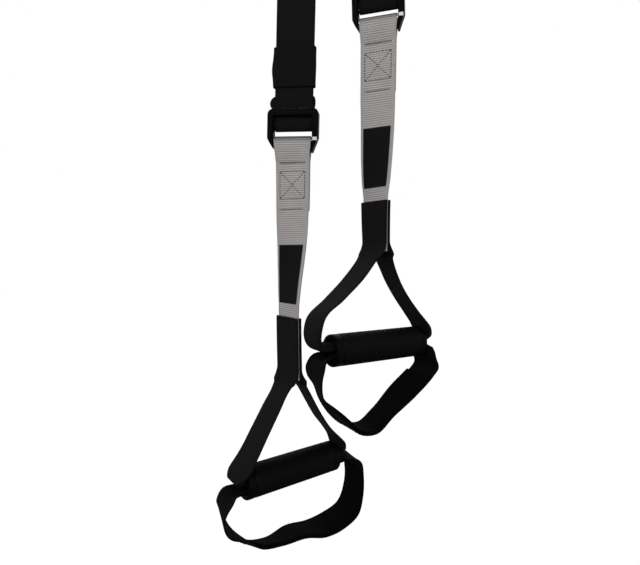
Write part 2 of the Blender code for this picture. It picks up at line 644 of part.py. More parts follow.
def make_keeper(side, frame):
    """A flat elastic sleeve round both plies."""
    second = WEB_THICK + GAP
    half = BLACK_WIDTH / 2 + KEEPER_SIDE_EASE
    low, high = -WEB_THICK / 2 - KEEPER_EASE, second + WEB_THICK / 2 + KEEPER_EASE
    wall = KEEPER_WALL
    inner = rounded([(-half, low), (half, low), (half, high), (-half, high)], [0.001] * 4, steps=2)
    outer = rounded([(-half - wall, low - wall), (half + wall, low - wall),
                     (half + wall, high + wall), (-half - wall, high + wall)], [0.0028] * 4,
                    steps=2)
    count = len(inner)
    verts = [(x, y, z) for z in (0, KEEPER_HEIGHT) for ring in (inner, outer) for x, y in ring]
    faces = []
    for i in range(count):
        j = (i + 1) % count
        a, b, c, d = 0, count, 2 * count, 3 * count
        faces += [(a + i, a + j, b + j, b + i), (c + i, d + i, d + j, c + j),
                  (a + i, c + i, c + j, a + j), (b + i, b + j, d + j, d + i)]
    return add_object("keeper_" + side, verts, faces, "black_webbing", frame)


def make_buckle(side, frame):
    """The cam buckle: a plate with two cheeks and two arms, with the bar that the strap ends on."""
    half = BUCKLE_WIDTH / 2
    ply = WEB_THICK / 2
    second = WEB_THICK + GAP
    face = ply + GAP
    bar_y = second + BUCKLE_BAR / 2 + GAP + ply
    arm = bar_y + BUCKLE_BAR / 2 + 0.002
    inner = BLACK_WIDTH / 2 + RUNNING_GAP
    plate = rounded([(half, BUCKLE_HALF_HEIGHT), (half, -BUCKLE_HALF_HEIGHT),
                     (-half, -BUCKLE_HALF_HEIGHT), (-half, BUCKLE_HALF_HEIGHT)],
                    [BUCKLE_CORNER] * 4, steps=4)
    frame_piece = add_object("buckle_frame_" + side,
                             *extruded(plate, "y", face, face + BUCKLE_PLATE),
                             "painted_steel", frame)
    bpy.context.view_layer.update()
    pin_y = -CAM_PIN_FORWARD
    cheek = rounded([(face + BUCKLE_PLATE, 0.018), (pin_y - 0.006, CAM_PIN_RISE + 0.006),
                     (pin_y - 0.006, CAM_PIN_RISE - 0.006), (face + BUCKLE_PLATE, -0.016)],
                    [0, 0.005, 0.005, 0], steps=4)
    side_arm = rounded([(face, -0.012), (arm, -0.020), (arm, -BUCKLE_BAR_DROP - 0.0045),
                        (face, -BUCKLE_BAR_DROP - 0.0045)], [0, 0.003, 0.003, 0.002], steps=3)
    joined = []
    for edge in (-1, 1):
        joined.append(extruded(cheek, "x", edge * inner, edge * (inner + BUCKLE_CHEEK)))
        joined.append(extruded(side_arm, "x", edge * (half - 0.0055), edge * half))
    combine(frame_piece, joined, "UNION")
    combine(frame_piece, [
        round_bar("x", (pin_y, CAM_PIN_RISE), CAM_PIN / 2 + GAP, -BUCKLE_WIDTH, BUCKLE_WIDTH),
        round_bar("x", (bar_y, -BUCKLE_BAR_DROP), BUCKLE_BAR / 2 + GAP, -BUCKLE_WIDTH,
                  BUCKLE_WIDTH)], "DIFFERENCE")
    add_object("buckle_bar_" + side, *round_bar("x", (bar_y, -BUCKLE_BAR_DROP), BUCKLE_BAR / 2,
                                                -half - 0.0006, half + 0.0006), "steel", frame)
    cheek_face = inner + BUCKLE_CHEEK + 0.0008
    pivot = add_empty("cam_pivot_" + side, Matrix.Translation((0, pin_y, CAM_PIN_RISE)), frame)
    add_object("cam_pin_" + side, *round_bar("x", (0, 0), CAM_PIN / 2, -cheek_face, cheek_face),
               "steel", pivot)
    make_cam(side, pivot)
    make_tab(side, frame)


def make_cam(side, pivot):
    """The toothed lever: a barrel on the pin, a lobe with teeth towards the strap, a thumb plate."""
    reach = CAM_PIN_FORWARD - WEB_THICK / 2 - GAP
    teeth = []
    for i in range(CAM_TEETH):
        level = -0.0005 - 0.0017 * i
        tip = reach - 0.00010 * i * i
        teeth += [(tip, level), (tip - CAM_TOOTH, level - 0.0012)]
    lobe_end = teeth[-1][1] - 0.0014
    lever = ([(reach - 0.0020, 0.0030), (reach - 0.0008, 0.0008)] + teeth
             + [(reach - 0.0045, lobe_end), (0.0, -CAM_BARREL)]
             + [(CAM_BARREL * cos(a), CAM_BARREL * sin(a)) for a in np.radians((-130, -165, 165))]
             + [(-0.0056, 0.012), (-0.0082, CAM_LEVER_RISE * 0.75), (-0.0120, CAM_LEVER_RISE),
                (-0.0120 + CAM_LEVER_THICK, CAM_LEVER_RISE + 0.0012),
                (-0.0054, CAM_LEVER_RISE * 0.76), (-0.0026, 0.0125), (0.0015, CAM_BARREL)])
    half = BLACK_WIDTH / 2 + RUNNING_GAP - GAP * 2
    cam = add_object("cam_lever_" + side, *extruded(lever, "x", -half, half), "painted_steel",
                     pivot)
    bpy.context.view_layer.update()
    combine(cam, [
        round_bar("x", (0, 0), CAM_PIN / 2 + GAP, -BLACK_WIDTH, BLACK_WIDTH),
        box_solid((-0.0050, -0.010, -0.0044), (0.0050, 0.0046, 0.0062)),
        box_solid((-0.010, -0.020, 0.0150), (0.010, 0.0, 0.0215))], "DIFFERENCE")
    mean = CAM_PIN / 2 + GAP + CAM_SPRING_WIRE / 2
    steps = 10 * CAM_SPRING_TURNS
    pitch = CAM_SPRING_WIRE + 0.0005
    start = -pitch * CAM_SPRING_TURNS / 2
    coil = [(start + pitch * i / 10, mean * cos(2 * pi * i / 10), mean * sin(2 * pi * i / 10))
            for i in range(steps + 1)]
    legs = [(start, mean, -0.0042)], [(-start, mean, 0.0042)]
    rod("cam_spring_" + side, legs[0] + coil + legs[1], CAM_SPRING_WIRE / 2, False, "steel",
        pivot, resolution=1)


def make_tab(side, frame):
    """The pull tab: a folded length of webbing sewn behind the strap's doubled end."""
    back = 2 * (WEB_THICK + GAP) + WEB_THICK / 2 + GAP + WEB_THICK / 2
    top = -BUCKLE_BAR_DROP - 0.022
    fold = 0.0035
    route = np.vstack([
        [(back, top), (back, top - 0.018)],
        smooth_route([(back, top - 0.019), (back + 0.001, top - TAB_LENGTH + 0.012)]
                     + [tuple(p) for p in arc((back + fold, top - TAB_LENGTH), fold, 180, 360, 6)]
                     + [(back + fold, top - TAB_LENGTH + 0.016),
                        (back + WEB_THICK + GAP, top - 0.022)], 0.004),
        [(back + WEB_THICK + GAP, top - 0.018), (back + WEB_THICK + GAP, top - 0.004)]])
    add_object("pull_tab_" + side, *ribbon(route, NARROW_WEB_WIDTH / 2, WEB_THICK),
               "grey_webbing", frame)


# Lower strap, handle and foot loop

def hanging(side, points, slope):
    """Turn points about the plumb line by the turn that the lower strap has at their height."""
    points = np.array(points, float)
    drop = SLIDE_BOTTOM_DROP - points[:, 2]
    drops, turns = TURN[side]
    turn = np.radians(np.interp(drop, drops, turns))
    level = 1 - ease((drop - SLIDE_BOTTOM_DROP - SLIDE_BOTTOM_BAR) / GREY_SEWN_END)
    points = on_bar(points, turn, slope * level)
    bow, low_bow = BOW[side]
    points[:, 0] += ((bow - low_bow * (drop > HANDLE_TOP))
                     * np.exp(-((drop - HANDLE_TOP) / BOW_REACH) ** 2)
                     + low_bow * (drop > HANDLE_TOP))
    return points


def add_hanging(name, solid, finish, side, frame):
    """An object whose points hang turned with the lower strap."""
    verts, faces = solid
    return add_object(name, hanging(side, verts, frame["bar_slope"]), faces, finish, frame)


def make_grey_strap(side, frame):
    """The grey strap: looped over the slide ring's lower bar, sewn back, and run down to the fork."""
    ply = WEB_THICK / 2
    bend = SLIDE_BOTTOM_BAR / 2 + GAP + ply
    half_gap = ply + GAP / 2
    level = SLIDE_BOTTOM_DROP
    loop = smooth_route(
        [(half_gap, level - GREY_SEWN_TOP), (half_gap + 0.0018, -0.0135), (bend, -0.004)]
        + [tuple(p) for p in arc((0, 0), bend, 0, 180, 8)]
        + [(-bend, -0.004), (-half_gap - 0.0018, -0.0135), (-half_gap, level - GREY_SEWN_TOP)],
        ROUTE_STEP)
    back = [(half_gap, z) for z in np.linspace(level - GREY_SEWN_END, level - GREY_SEWN_TOP, 6)]
    front = [(-half_gap, z) for z in np.linspace(level - GREY_SEWN_TOP, level - GREY_SEWN_END, 6)]
    tail = smooth_route([(-half_gap, level - GREY_SEWN_END - 0.004), (0, level - LABEL_TOP),
                         (0, level - LABEL_TOP - 0.008), (0, level - HANDLE_TOP),
                         (0, level - GREY_END - TRIM[side])], 0.008)
    route = np.vstack([back[:-1], loop, front[1:], tail])
    add_hanging("grey_strap_" + side, ribbon(route, GREY_WIDTH / 2, WEB_THICK), "grey_webbing",
                side, frame)
    label = [(-ply - GAP - LABEL_THICK / 2, z)
             for z in np.linspace(level - LABEL_TOP, level - LABEL_TOP - LABEL_LENGTH, 10)]
    add_hanging("label_" + side, ribbon(label, LABEL_WIDTH / 2, LABEL_THICK), "label_satin",
                side, frame)


def gathered_rows(rows, tube_height, spacing):
    """A smooth route whose height settles to the tube's where the strap is gathered."""
    route = smooth_route(rows, spacing)
    gather = np.clip(route[:, 2], 0, 1)
    route[:, 1] = route[:, 1] * (1 - ease(gather)) + tube_height * ease(gather)
    return route, gather


def make_handle_strap(side, frame):
    """One strap: down its front ply to the fork, through the grip, and up again as the back ply."""
    half = GRIP_LENGTH / 2
    fork = FORK_RISE
    top = GRIP_DROP + TRIM[side] - HANDLE_TOP
    offset = WEB_THICK + GAP
    level = SLIDE_BOTTOM_DROP - GRIP_DROP - TRIM[side]
    rows = [(u * half, v * fork, gather, turn) for u, v, gather, turn in HANDLE_ROUTE[side]]
    start = [(-offset, fork + 0.014, 0, 0), (-offset, fork + 0.006, 0, 0)]
    end = [(offset, fork + 0.006, 0, 0), (offset, fork + 0.014, 0, 0)]
    bore_seat = ((BORE_RADIUS - GAP) ** 2 - GATHERED_HALF_WIDTH ** 2) ** 0.5
    route, gather = gathered_rows(start + rows + end, bore_seat - GATHERED_THICK / 2, 0.0042)
    beside_grey = route[:, 1] > GRIP_DROP - GREY_END - 0.004
    clear = np.sign(route[:, 0]) * np.maximum(np.abs(route[:, 0]), offset)
    route[:, 0] = np.where(beside_grey, clear, route[:, 0])
    route[:, 3] = np.where(beside_grey, 0, route[:, 3])
    plies = np.linspace(top, fork + 0.020, 8)
    above = np.array([(-offset, z, 0, 0) for z in plies])
    below = np.array([(offset, z, 0, 0) for z in plies[::-1]])
    route = np.vstack([above, route, below])
    gather = np.concatenate([np.zeros(8), gather, np.zeros(8)])
    half_width = BLACK_WIDTH / 2 * (1 - gather) + GATHERED_HALF_WIDTH * gather
    thick = WEB_THICK * (1 - gather) + GATHERED_THICK * gather
    route[:, 1] += level
    solid = ribbon(route, half_width, thick, turn=np.radians(route[:, 3]))
    add_hanging("handle_strap_" + side, solid, "black_webbing", side, frame)


def make_foot_loop(side, frame):
    """The foot strap, curled into the grip's ends, and the padded cradle on its lower run."""
    half = GRIP_LENGTH / 2
    rows = [(u * half, -v * LOOP_DEPTH, gather, turn) for u, v, gather, turn in FOOT_ROUTE[side]]
    route, gather = gathered_rows(rows, -CURLED_RADIUS, 0.0058)
    half_width = BLACK_WIDTH / 2 * (1 - gather) + CURLED_HALF_WIDTH * gather
    thick = WEB_THICK * (1 - gather) + CURLED_THICK * gather
    turn = np.radians(route[:, 3])
    solid = ribbon(route, half_width, thick, turn, -gather / CURLED_RADIUS, sections=4)
    level = SLIDE_BOTTOM_DROP - GRIP_DROP - TRIM[side]
    shift = np.array([0, 0, level])
    add_hanging("foot_strap_" + side, (solid[0] + shift, solid[1]), "black_webbing", side, frame)
    first, last = (int(share * len(route)) for share in PAD_SPAN[side])
    pad = ribbon(route[first:last + 1], PAD_WIDTH / 2, PAD_THICK, turn[first:last + 1],
                 sections=4, lift=(WEB_THICK + PAD_THICK) / 2 + 2 * GAP)
    add_hanging("foot_pad_" + side, (pad[0] + shift, pad[1]), "pad_fabric", side, frame)


def make_grip(side, frame):
    """The tube, its grooved rubber sleeve, a bright ring and a flared cap at each end."""
    half = GRIP_LENGTH / 2
    level = SLIDE_BOTTOM_DROP - GRIP_DROP - TRIM[side]
    shift = np.array([0, 0, level])
    tube = half - 0.0030
    add_hanging("grip_tube_" + side, _moved(turned(
        [(BORE_RADIUS, -tube), (BORE_RADIUS, tube), (TUBE_RADIUS, tube), (TUBE_RADIUS, -tube)],
        24), shift), "black_plastic", side, frame)
    rubber = half - CAP_LENGTH - GLINT_RING - 2 * GAP
    ends = rubber - GRIP_SHOULDER
    profile = [(TUBE_RADIUS + GAP, -rubber), (TUBE_RADIUS + GAP, rubber),
               (GRIP_RADIUS - GRIP_SHOULDER / 2, rubber), (GRIP_RADIUS, ends),
               (GRIP_RADIUS, -ends), (GRIP_RADIUS - GRIP_SHOULDER / 2, -rubber)]
    add_hanging("grip_sleeve_" + side, _moved(turned(profile, 24), shift), "rubber", side, frame)
    inner = TUBE_RADIUS + GAP
    for end, name in ((-1, "near"), (1, "far")):
        ring = [(inner, end * (rubber + GAP)), (inner, end * (rubber + GAP + GLINT_RING)),
                (GRIP_RADIUS - 0.0002, end * (rubber + GAP + GLINT_RING)),
                (GRIP_RADIUS - 0.0002, end * (rubber + GAP))]
        add_hanging(f"grip_ring_{name}_{side}", _moved(turned(ring, 24), shift), "dark_steel",
                    side, frame)
        low = half - CAP_LENGTH
        cap = [(inner, end * low), (GRIP_RADIUS, end * low),
               (GRIP_RADIUS, end * (half - 0.0020)), (GRIP_RADIUS - 0.0009, end * (half - 0.0004)),
               (GRIP_RADIUS - 0.0020, end * half), (CAP_MOUTH_RADIUS, end * half),
               (BORE_RADIUS, end * (half - 0.0014)), (BORE_RADIUS, end * (tube + GAP)),
               (inner, end * (tube + GAP))]
        add_hanging(f"grip_cap_{name}_{side}", _moved(turned(cap, 24), shift), "black_plastic",
                    side, frame)


def _moved(solid, shift):
    """A solid's points moved by a shift."""
    return np.array(solid[0]) + shift, solid[1]


def make_leg(side):
    """Everything that hangs on one leg."""
    top = leg_frame(side)
    leg = add_empty("leg_" + side, top)
    bpy.context.view_layer.update()
    make_leg_strap(side, leg)
    bend = DELTA_ROD / 2 + GAP + WEB_THICK / 2
    ring_place = Matrix.Translation((0, -bend, -LEG_DROP[side]))
    ring = add_empty("slide_ring_frame_" + side, ring_place, leg)
    seat = make_slide_ring(side, ring)
    rise = STRAP_RUN - LEG_DROP[side]
    make_return_strap(side, ring, rise)
    make_keeper(side, add_empty("keeper_frame_" + side, Matrix.Translation((0, 0, KEEPER_DROP)),
                                ring))
    make_buckle(side, add_empty("buckle_" + side, Matrix.Translation((0, 0, rise)), ring))
    bpy.context.view_layer.update()
    bar = ring.matrix_world @ Vector((0, seat, -SLIDE_BOTTOM_DROP))
    lower = add_empty("lower_" + side, Matrix.Translation(bar))
    lower["bar_slope"] = ring.matrix_world.to_3x3()[2][0]
    make_grey_strap(side, lower)
    make_handle_strap(side, lower)
    make_foot_loop(side, lower)
    make_grip(side, lower)


def main():
    """Build the whole trainer."""
    clear_scene()
    make_finishes()
    anchor = add_empty("anchor", Matrix.Rotation(ANCHOR_TURN, 4, "Z"))
    make_carabiner(anchor)
    make_anchor(anchor)
    for side in ("left", "right"):
        make_leg(side)
    bpy.context.view_layer.update()


main()
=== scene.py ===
"""Looks of the suspension trainer: webbing, padding, rubber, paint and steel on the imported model.

All sizes are in metres, in the model's own frame: the origin is the inside top of the carabiner and
+Z is up. The straps' routes and the named sizes below are those of the solids.
"""

from math import cos, pi, radians, sin

import bmesh
import bpy
import numpy as np
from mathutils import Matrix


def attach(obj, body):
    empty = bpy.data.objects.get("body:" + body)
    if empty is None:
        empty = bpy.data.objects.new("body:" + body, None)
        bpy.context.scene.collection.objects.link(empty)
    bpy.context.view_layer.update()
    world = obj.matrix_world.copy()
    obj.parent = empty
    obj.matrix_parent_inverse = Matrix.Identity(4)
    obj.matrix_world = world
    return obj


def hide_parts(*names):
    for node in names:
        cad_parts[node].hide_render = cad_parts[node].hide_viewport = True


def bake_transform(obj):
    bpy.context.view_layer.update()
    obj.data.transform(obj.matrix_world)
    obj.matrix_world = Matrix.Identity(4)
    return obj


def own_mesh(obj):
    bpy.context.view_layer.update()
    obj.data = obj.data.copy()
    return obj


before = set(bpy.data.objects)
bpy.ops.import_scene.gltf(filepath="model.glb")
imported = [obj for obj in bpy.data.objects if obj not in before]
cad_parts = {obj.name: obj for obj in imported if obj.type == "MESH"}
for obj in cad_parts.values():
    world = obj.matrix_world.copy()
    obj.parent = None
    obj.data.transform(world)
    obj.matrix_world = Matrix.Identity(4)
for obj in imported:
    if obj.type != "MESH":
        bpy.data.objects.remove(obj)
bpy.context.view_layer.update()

# Fits
GAP = 0.0003
RUNNING_GAP = 0.0007

# Webbing
BLACK_WIDTH = 0.0395
GREY_WIDTH = 0.0366
WEB_THICK = 0.0018
NARROW_WEB_WIDTH = 0.025

# Anchor
CARABINER_ROD = 0.010
CARABINER_INNER_HEIGHT = 0.072
ANCHOR_STRAP_LENGTH = 0.075
ANCHOR_TURN = radians(-16)
DELTA_ROD = 0.008
DELTA_HEIGHT = 0.045
DELTA_TOP_HALF = 0.017
DELTA_BOTTOM_HALF = 0.052
DELTA_CORNER = 0.008

# Legs
LEG_SPACING = 0.052
RING_SPREAD = {"left": -0.0430, "right": 0.0436}
LEG_DROP = {"left": 0.7102, "right": 0.5905}
STRAP_RUN = 1.100
LEG_TURN = {"left": radians(-9), "right": radians(-16)}
LOOP_SEWN = 0.045
FOLD_LEVEL = 0.0238
FOLD_REACH = 0.0071

# Slide ring
SLIDE_WIDTH = 0.0530
SLIDE_TOP = 0.0177
SLIDE_TOP_BAR = 0.0074
SLIDE_TOP_BAR_DEPTH = 0.0036
SLIDE_DEPTH = 0.0108
SLIDE_WINDOW = 0.0410
SLIDE_CORNER = 0.0055
SLIDE_MIDDLE_BAR = 0.005
SLIDE_BOTTOM_BAR = 0.006
SLIDE_BOTTOM_DROP = 0.0151
EAR_TIPS = ((0.0189, -0.0250), (0.0208, -0.0252))
EAR_SLOT = (0.0205, 0.0256)

# Keeper
KEEPER_HEIGHT = 0.040
KEEPER_DROP = 0.039
KEEPER_WALL = 0.0013
KEEPER_EASE = 0.0006
KEEPER_SIDE_EASE = 0.0008

# Cam buckle
BUCKLE_WIDTH = 0.052
BUCKLE_BAR = 0.005
BUCKLE_BAR_DROP = 0.031
CAM_PIN_FORWARD = 0.0100
CAM_PIN_RISE = 0.004
CAM_TIPS = ((0.0088, 0.0005), (0.0087, 0.0022), (0.0084, 0.0039), (0.0079, 0.0056),
            (0.0072, 0.0073))
TAB_LENGTH = 0.050

# Lower strap, measured down from the slide ring's middle bar
GREY_SEWN_TOP = 0.0361
GREY_SEWN_END = 0.0865
LABEL_TOP = 0.1208
LABEL_LENGTH = 0.0605
LABEL_WIDTH = 0.030
LABEL_THICK = 0.0006
HANDLE_TOP = 0.1955
FORK_DROP = 0.2560
GREY_END = 0.2590
GRIP_DROP = 0.3575
TRIM = {"left": 0.0008, "right": -0.0118}

# Grip
GRIP_LENGTH = 0.114
GRIP_RADIUS = 0.0163
TUBE_RADIUS = 0.0132
BORE_RADIUS = 0.0112
CAP_LENGTH = 0.0075
CAP_MOUTH_RADIUS = 0.0125
GRIP_SHOULDER = 0.0015
GLINT_RING = 0.0016
KNURL_STARTS = 26
KNURL_SLANT = 0.85
KNURL_GROOVE = 0.34
KNURL_DEPTH = 0.00050

# Straps where they are gathered inside the grip
GATHERED_HALF_WIDTH = 0.0065
GATHERED_THICK = 0.0080
CURLED_RADIUS = 0.0098
CURLED_HALF_WIDTH = 0.0130
CURLED_THICK = 0.0022
LOOP_DEPTH = 0.0780
PAD_WIDTH = 0.041
PAD_THICK = 0.0026

# Weave and sewing
RIB = 0.0022
YARN = 0.00115
THREAD_RADIUS = 0.00032
STITCH_PITCH = 0.0032
TACK_PITCH = 0.0024
STITCH_WANDER = 0.00012
BLACK_POLYESTER = (0.0047, 0.0045, 0.0044)
GREY_POLYESTER = (0.290, 0.277, 0.272)

# Studio
CAMERA_PLACE = (-0.0165, -0.504, -1.037)
CAMERA_DOWN = 3.4
LENS = 27
FLOOR_LEVEL = -1.62
FLOOR_REACH = 6
FLOOR_GLOW = 1.05
FLOOR_GLOW_SHARE = 0.96
SKY_LIGHT = 0.55

# How far each lower strap has turned at a drop below the middle bar, and how far it bows
TURN = {
    "left": ((0.0, 0.022, 0.037, 0.083, 0.107, 0.132, 0.157, 0.182, HANDLE_TOP),
             (-9, -9, -16, -21, -27, -36, -45, -52, -53)),
    "right": ((0.0, 0.022, 0.037, 0.090, 0.126, 0.151, 0.175, 0.190, FORK_DROP),
              (-16, -16, -19, -23, -30, -36, -45, -54, -60)),
}
BOW = {"left": (-0.0052, -0.0038), "right": (-0.0020, 0.0)}
BOW_REACH = 0.070

# Routes of the handle straps: along the grip as a share of its half length, up as a share of the
# fork's height, how gathered the strap is, and its turn about its own route in degrees
IN_GRIP = ((-1.03, 0.0, 1, 0), (-0.5, 0.0, 1, 0), (0.5, 0.0, 1, 0), (1.03, 0.0, 1, 0))
HANDLE_ROUTE = {
    "left": (
        (-0.12, 0.94, 0, -5), (-0.20, 0.87, 0, -9), (-0.41, 0.69, 0, -8), (-0.66, 0.47, 0, -7),
        (-0.91, 0.25, 0, -5), (-1.045, 0.15, 0.03, -2), (-1.145, 0.10, 0.45, 0),
        (-1.16, 0.06, 0.95, 0), (-1.11, 0.018, 1, 0), *IN_GRIP,
        (1.12, 0.015, 1, 0), (1.16, 0.085, 0.93, 0), (1.12, 0.165, 0.3, 4),
        (0.96, 0.28, 0.03, 8), (0.74, 0.42, 0, 11), (0.52, 0.61, 0, 13), (0.30, 0.82, 0, 12),
        (0.15, 0.94, 0, 7),
    ),
    "right": (
        (-0.11, 0.96, 0, -2), (-0.19, 0.90, 0, -4), (-0.49, 0.71, 0, -4), (-0.92, 0.50, 0, -5),
        (-1.28, 0.33, 0, -5), (-1.35, 0.215, 0.36, 0), (-1.265, 0.09, 0.72, 0),
        (-1.155, 0.005, 0.92, 0), *IN_GRIP,
        (1.12, 0.015, 1, 0), (1.15, 0.08, 0.8, 0), (1.09, 0.16, 0.3, 4),
        (0.93, 0.26, 0.03, 8), (0.67, 0.425, 0, 11), (0.415, 0.62, 0, 13), (0.215, 0.84, 0, 12),
        (0.12, 0.96, 0, 7),
    ),
}

# Routes of the foot straps: along the grip as above, and down as a share of the loop's depth
FOOT_ROUTE = {
    "left": (
        (-0.55, 0.118, 1, 0), (-1.03, 0.118, 1, 0), (-1.13, 0.125, 0.93, 0),
        (-1.26, 0.145, 0.27, -6), (-1.41, 0.24, 0, -14), (-1.345, 0.43, 0, -19),
        (-1.105, 0.645, 0, 6), (-0.845, 0.85, 0, 16), (-0.34, 0.955, 0, 20), (0.10, 0.94, 0, 11),
        (0.59, 1.02, 0, 4), (1.05, 1.005, 0, 3), (1.43, 0.90, 0, 7), (1.59, 0.62, 0, 11.5),
        (1.60, 0.35, 0, 11.5), (1.51, 0.11, 0, 8), (1.30, 0.07, 0.24, 0), (1.13, 0.115, 0.93, 0),
        (1.03, 0.118, 1, 0), (0.55, 0.118, 1, 0),
    ),
    "right": (
        (-0.55, 0.118, 1, 0), (-1.03, 0.118, 1, 0), (-1.12, 0.12, 0.75, 0),
        (-1.21, 0.115, 0.2, -6), (-1.29, 0.185, 0, -3), (-1.31, 0.33, 0, -8),
        (-1.235, 0.49, 0, -17), (-1.06, 0.685, 0, -7), (-0.83, 0.89, 0, -1), (-0.54, 1.07, 0, 0),
        (-0.20, 1.12, 0, 6), (0.18, 0.95, 0, 9), (0.655, 0.70, 0, 0), (1.10, 0.46, 0, 0),
        (1.225, 0.36, 0, 0), (1.11, 0.215, 0.3, 0), (1.07, 0.135, 0.85, 0), (1.03, 0.118, 1, 0),
        (0.55, 0.118, 1, 0),
    ),
}
PAD_SPAN = {"left": (0.30, 0.80), "right": (0.32, 0.78)}


# Shader maths

def math_node(operation, reflected=False):
    """What one of Python's operators does with a Value: it adds a Math node."""
    def work(self, other):
        return self.nodes.maths(operation, *((other, self) if reflected else (self, other)))
    return work


class Value:
    """A number or colour that a shader works out, with the operators that the finishes use."""

    def __init__(self, nodes, socket):
        self.nodes = nodes
        self.socket = socket

    __add__, __radd__ = math_node("ADD"), math_node("ADD", True)
    __sub__, __rsub__ = math_node("SUBTRACT"), math_node("SUBTRACT", True)
    __mul__ = math_node("MULTIPLY")
    __truediv__ = math_node("DIVIDE")
    __pow__ = math_node("POWER")


class Nodes:
    """The nodes of a material or of the world. add() makes any of them."""

    def __init__(self, tree):
        self.tree = tree

    def feed(self, node, key, value):
        """Put a number, a colour or another node's value into one of a node's sockets."""
        if isinstance(value, Value):
            self.tree.links.new(value.socket, node.inputs[key])
        else:
            node.inputs[key].default_value = value

    def add(self, kind, settings=None, sockets=None, output=0):
        """A node of this kind: its settings are set first, then its sockets are filled."""
        node = self.tree.nodes.new(kind)
        for key, value in (settings or {}).items():
            setattr(node, key, value)
        for key, value in (sockets or {}).items():
            self.feed(node, key, value)
        return Value(self, node.outputs[output])

    def maths(self, operation, first, second=0.0):
        """A Math node."""
        return self.add("ShaderNodeMath", {"operation": operation}, {0: first, 1: second})


class Finish(Nodes):
    """One material, with short names for the patterns used here."""

    def __init__(self, name, roughness, metallic=0.0, level=0.5):
        self.material = bpy.data.materials.new(name)
        self.material.use_nodes = True
        super().__init__(self.material.node_tree)
        self.shader = self.tree.nodes["Principled BSDF"]
        for key, value in (("Roughness", roughness), ("Metallic", metallic),
                           ("Specular IOR Level", level)):
            self.shader.inputs[key].default_value = value

    def wave(self, turns):
        """A cosine that runs from 0 to 1 and back once for each whole turn."""
        return self.maths("COSINE", turns * (2 * pi)) * 0.5 + 0.5

    def step(self, value, low, high):
        """0 below low, 1 above high, and smooth between."""
        return self.add("ShaderNodeMapRange", {"interpolation_type": "SMOOTHSTEP"},
                        {"Value": value, "From Min": low, "From Max": high})

    def lay(self):
        """Across the webbing, along it, and which face, all carried by the surface."""
        node = self.add("ShaderNodeAttribute", {"attribute_name": "lay"}, output=1)
        return [self.add("ShaderNodeSeparateXYZ", None, {0: node}, k) for k in range(3)] + [node]

    def place(self, stretch=(1, 1, 1)):
        """Object coordinates, stretched along each axis."""
        where = self.add("ShaderNodeTexCoord", output="Object")
        return self.add("ShaderNodeMapping", None, {"Vector": where, "Scale": stretch})

    def noise(self, where, scale, detail=3.0, roughness=0.5):
        """Cloudy noise from 0 to 1, of so many features to the metre."""
        return self.add("ShaderNodeTexNoise", None, {
            "Vector": where, "Scale": scale, "Detail": detail, "Roughness": roughness})

    def mix(self, share, first, second):
        """Between two colours."""
        return self.add("ShaderNodeMix", {"data_type": "RGBA"},
                        {0: share, 6: first, 7: second}, output=2)

    def shade(self, colour, amount):
        """A colour made darker or lighter by an amount that varies over the surface."""
        grey = self.add("ShaderNodeCombineXYZ", None, {0: amount, 1: amount, 2: amount})
        return self.add("ShaderNodeVectorMath", {"operation": "MULTIPLY"}, {0: grey, 1: colour})

    def finish(self, colour, height, depth, rough=None, metal=None):
        """Link what varies to the shader, and the relief through a Bump node."""
        bump = self.add("ShaderNodeBump", None,
                        {"Height": height, "Distance": depth, "Strength": 1.0})
        for key, value in (("Base Color", colour), ("Roughness", rough), ("Metallic", metal),
                           ("Normal", bump)):
            if value is not None:
                self.feed(self.shader, key, value)
        return self.material


def webbing_finish(name, colour, half_width, contrast=0.35, level=0.05, wear_and_painted_shade=None):
    """Ribbed polyester webbing: ribs across, broken by its lengthwise yarns, with knotted edges.

    The height is a cosine of the way along over the rib's pitch, with its tops broadened by a
    power; every second yarn is shifted by half a rib, and the last yarns at each edge are bolder.
    The last argument is a distance along at which the webbing turns over a bar; there a band of
    painted shade darkens it.
    """
    cloth = Finish(name, 0.85, level=level)
    across, along, _, where = cloth.lay()
    turns = along / RIB
    odd = cloth.maths("MODULO", cloth.maths("FLOOR", across / YARN + 200.0), 2.0)
    ribs = cloth.wave(turns)
    broken = cloth.wave(turns + odd * 0.5)
    edge = cloth.step(cloth.maths("ABSOLUTE", across), half_width - 0.0030, half_width - 0.0022)
    yarns = cloth.maths("ABSOLUTE", cloth.maths("SINE", across * (pi / YARN)))
    weave = (ribs * (0.80 - edge * 0.75) + broken * (0.20 + edge * 0.75)) ** 0.7
    height = weave * 0.7 + yarns * 0.2 + cloth.noise(where, 2600, 2.0) * 0.25
    cloudy = cloth.noise(where, 55, 4.0) * 0.24 + cloth.noise(where, 420, 2.0) * 0.30
    amount = 1.0 + (height - 0.66) * contrast * (1.0 + edge * 0.5) + cloudy - 0.27
    # Painted shade: a dark band round the distance at which the webbing turns over the bar.
    if wear_and_painted_shade is not None:
        away = cloth.maths("ABSOLUTE", along - wear_and_painted_shade)
        amount = amount * (0.22 + cloth.step(away, 0.0010, 0.0085) * 0.78)
    return cloth.finish(colour=cloth.shade(colour, amount), rough=0.80 + yarns * 0.12,
                        height=height, depth=0.00030)


def elastic_finish():
    """Knitted elastic: narrow lengthwise ribs with a fine crosswise stretch line."""
    cloth = Finish("keeper_elastic", 0.8, level=0.04)
    across, along, _, where = cloth.lay()
    ribs = cloth.wave(across / 0.0013)
    lines = cloth.wave(along / 0.0008)
    height = ribs * 0.7 + lines * 0.3 + cloth.noise(where, 1500, 2.0) * 0.2
    amount = 0.62 + height * 0.35 + cloth.noise(where, 60, 3.0) * 0.2
    return cloth.finish(colour=cloth.shade((0.0045, 0.0043, 0.0043), amount), height=height,
                        depth=0.00018)


